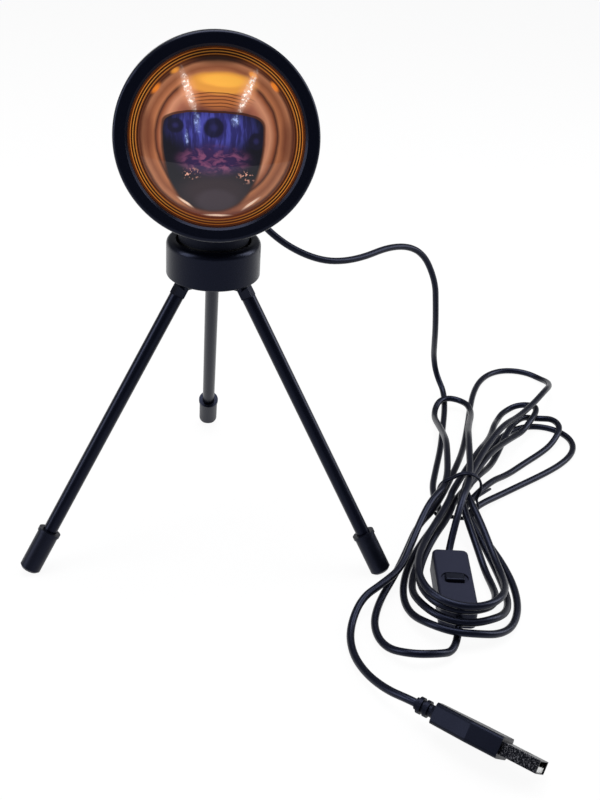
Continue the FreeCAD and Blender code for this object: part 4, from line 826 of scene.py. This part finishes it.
# Bright painted amber highlights alternate with thin dark rings.
RIM_GLINTS_AND_DARK_RINGS = [
    (0.895, 0.012, "#2a120a"), (0.915, 0.008, "#e08a34"), (0.931, 0.008, "#2e150b"),
    (0.946, 0.008, "#ffab4a"), (0.961, 0.008, "#3a1a0c"), (0.976, 0.009, "#f6913a"),
    (0.993, 0.010, "#6e3413"),
]
for radius, width, shade in RIM_GLINTS_AND_DARK_RINGS:
    colour = laid_over(colour, times(ring(radius, width), side), linear(shade))
tree.links.new(colour, shader.inputs["Base Color"])
tree.links.new(colour, shader.inputs["Emission Color"])
wear(frame["nodes"]["lens"], coated_glass_painted_reflections)
print("lens pattern nodes", len(tree.nodes))

# %% [markdown]
# The filter sits behind the painted lens, so it only needs its coating's own copper tone.

# %% Filter behind the lens
coating, tree, shader = finish_of("dichroic_coating", "#a8653a", 0.3)
wear(frame["nodes"]["sunset_filter"], coating)
print("filter wears", coating.name)

# %% [markdown]
# ## Floor and light
# The lamp stands on a plain pale sheet under broad soft lights. The camera sees the sheet almost
# white, while the light that reaches the lamp stays at a plain level.

# %% Floor
FLOOR_SIZE, FLOOR_SHARE = 6, 0.93


def rays(tree, kind, *others):
    """1 for a ray of any of these kinds, 0 for the light that falls on the lamp."""
    paths = node(tree, "LightPath").outputs
    found = paths["Is %s Ray" % kind]
    for other in others:
        inputs = {0: found, 1: paths["Is %s Ray" % other]}
        found = node(tree, "Math", {"operation": "MAXIMUM"}, inputs).outputs[0]
    return found


bpy.ops.mesh.primitive_plane_add(size=FLOOR_SIZE, location=(0, 0, 0))
floor = bpy.context.object
floor.name = "pale_floor"
floor_paper, tree, shader = finish_of("pale_paper", "#e9e9ea", 0.9)
seen = rays(tree, "Camera", "Glossy", "Transmission")
share = node(tree, "Math", {"operation": "MULTIPLY"}, {0: seen, 1: FLOOR_SHARE})
glow = node(tree, "Emission", inputs={"Color": linear("#ffffff"), "Strength": 1.0})
mix = node(tree, "MixShader", inputs={0: share.outputs[0], 1: shader.outputs[0], 2: glow.outputs[0]})
tree.links.new(mix.outputs[0], tree.nodes["Material Output"].inputs["Surface"])
wear(floor, floor_paper)
print("floor is", FLOOR_SIZE, "m wide")

# %% [markdown]
# The room's light is a weak cool white all round. One wide lamp above and one on each side give
# the paint its soft highlights and the legs their pale edges.

# %% World
ROOM_LIGHT = 0.25
bpy.context.scene.view_settings.view_transform = "Standard"
world = bpy.data.worlds.new("studio")
bpy.context.scene.world = world
world.use_nodes = True
tree = world.node_tree
seen = rays(tree, "Camera", "Transmission")
dim = tree.nodes["Background"]
dim.inputs["Color"].default_value = linear("#eef1f8")
dim.inputs["Strength"].default_value = ROOM_LIGHT
white = node(tree, "Background", inputs={"Color": linear("#ffffff"), "Strength": 1.0})
mix = node(tree, "MixShader", inputs={0: seen, 1: dim.outputs[0], 2: white.outputs[0]})
tree.links.new(mix.outputs[0], tree.nodes["World Output"].inputs["Surface"])
print("room light", ROOM_LIGHT)

# %% Lamps
LIT_MIDDLE = (20, 0, 80)


def soft_light(name, place, size, power):
    """A wide lamp that faces the middle of the object; place in mm, size in m, power in W."""
    bpy.ops.object.light_add(type="AREA", location=from_hub(*place))
    light = bpy.context.object
    light.name = name
    light.data.shape = "RECTANGLE"
    light.data.size, light.data.size_y = size
    light.data.energy = power
    facing = from_hub(*LIT_MIDDLE) - light.location
    light.rotation_euler = facing.to_track_quat("-Z", "Y").to_euler()
    print(name, "stands", round(facing.length, 2), "m away")


soft_light("top_light", (0, 150, 900), (0.7, 0.7), 9)
soft_light("left_light", (-800, -250, 500), (0.4, 0.7), 5)
soft_light("right_light", (800, 100, 500), (0.4, 0.7), 5)
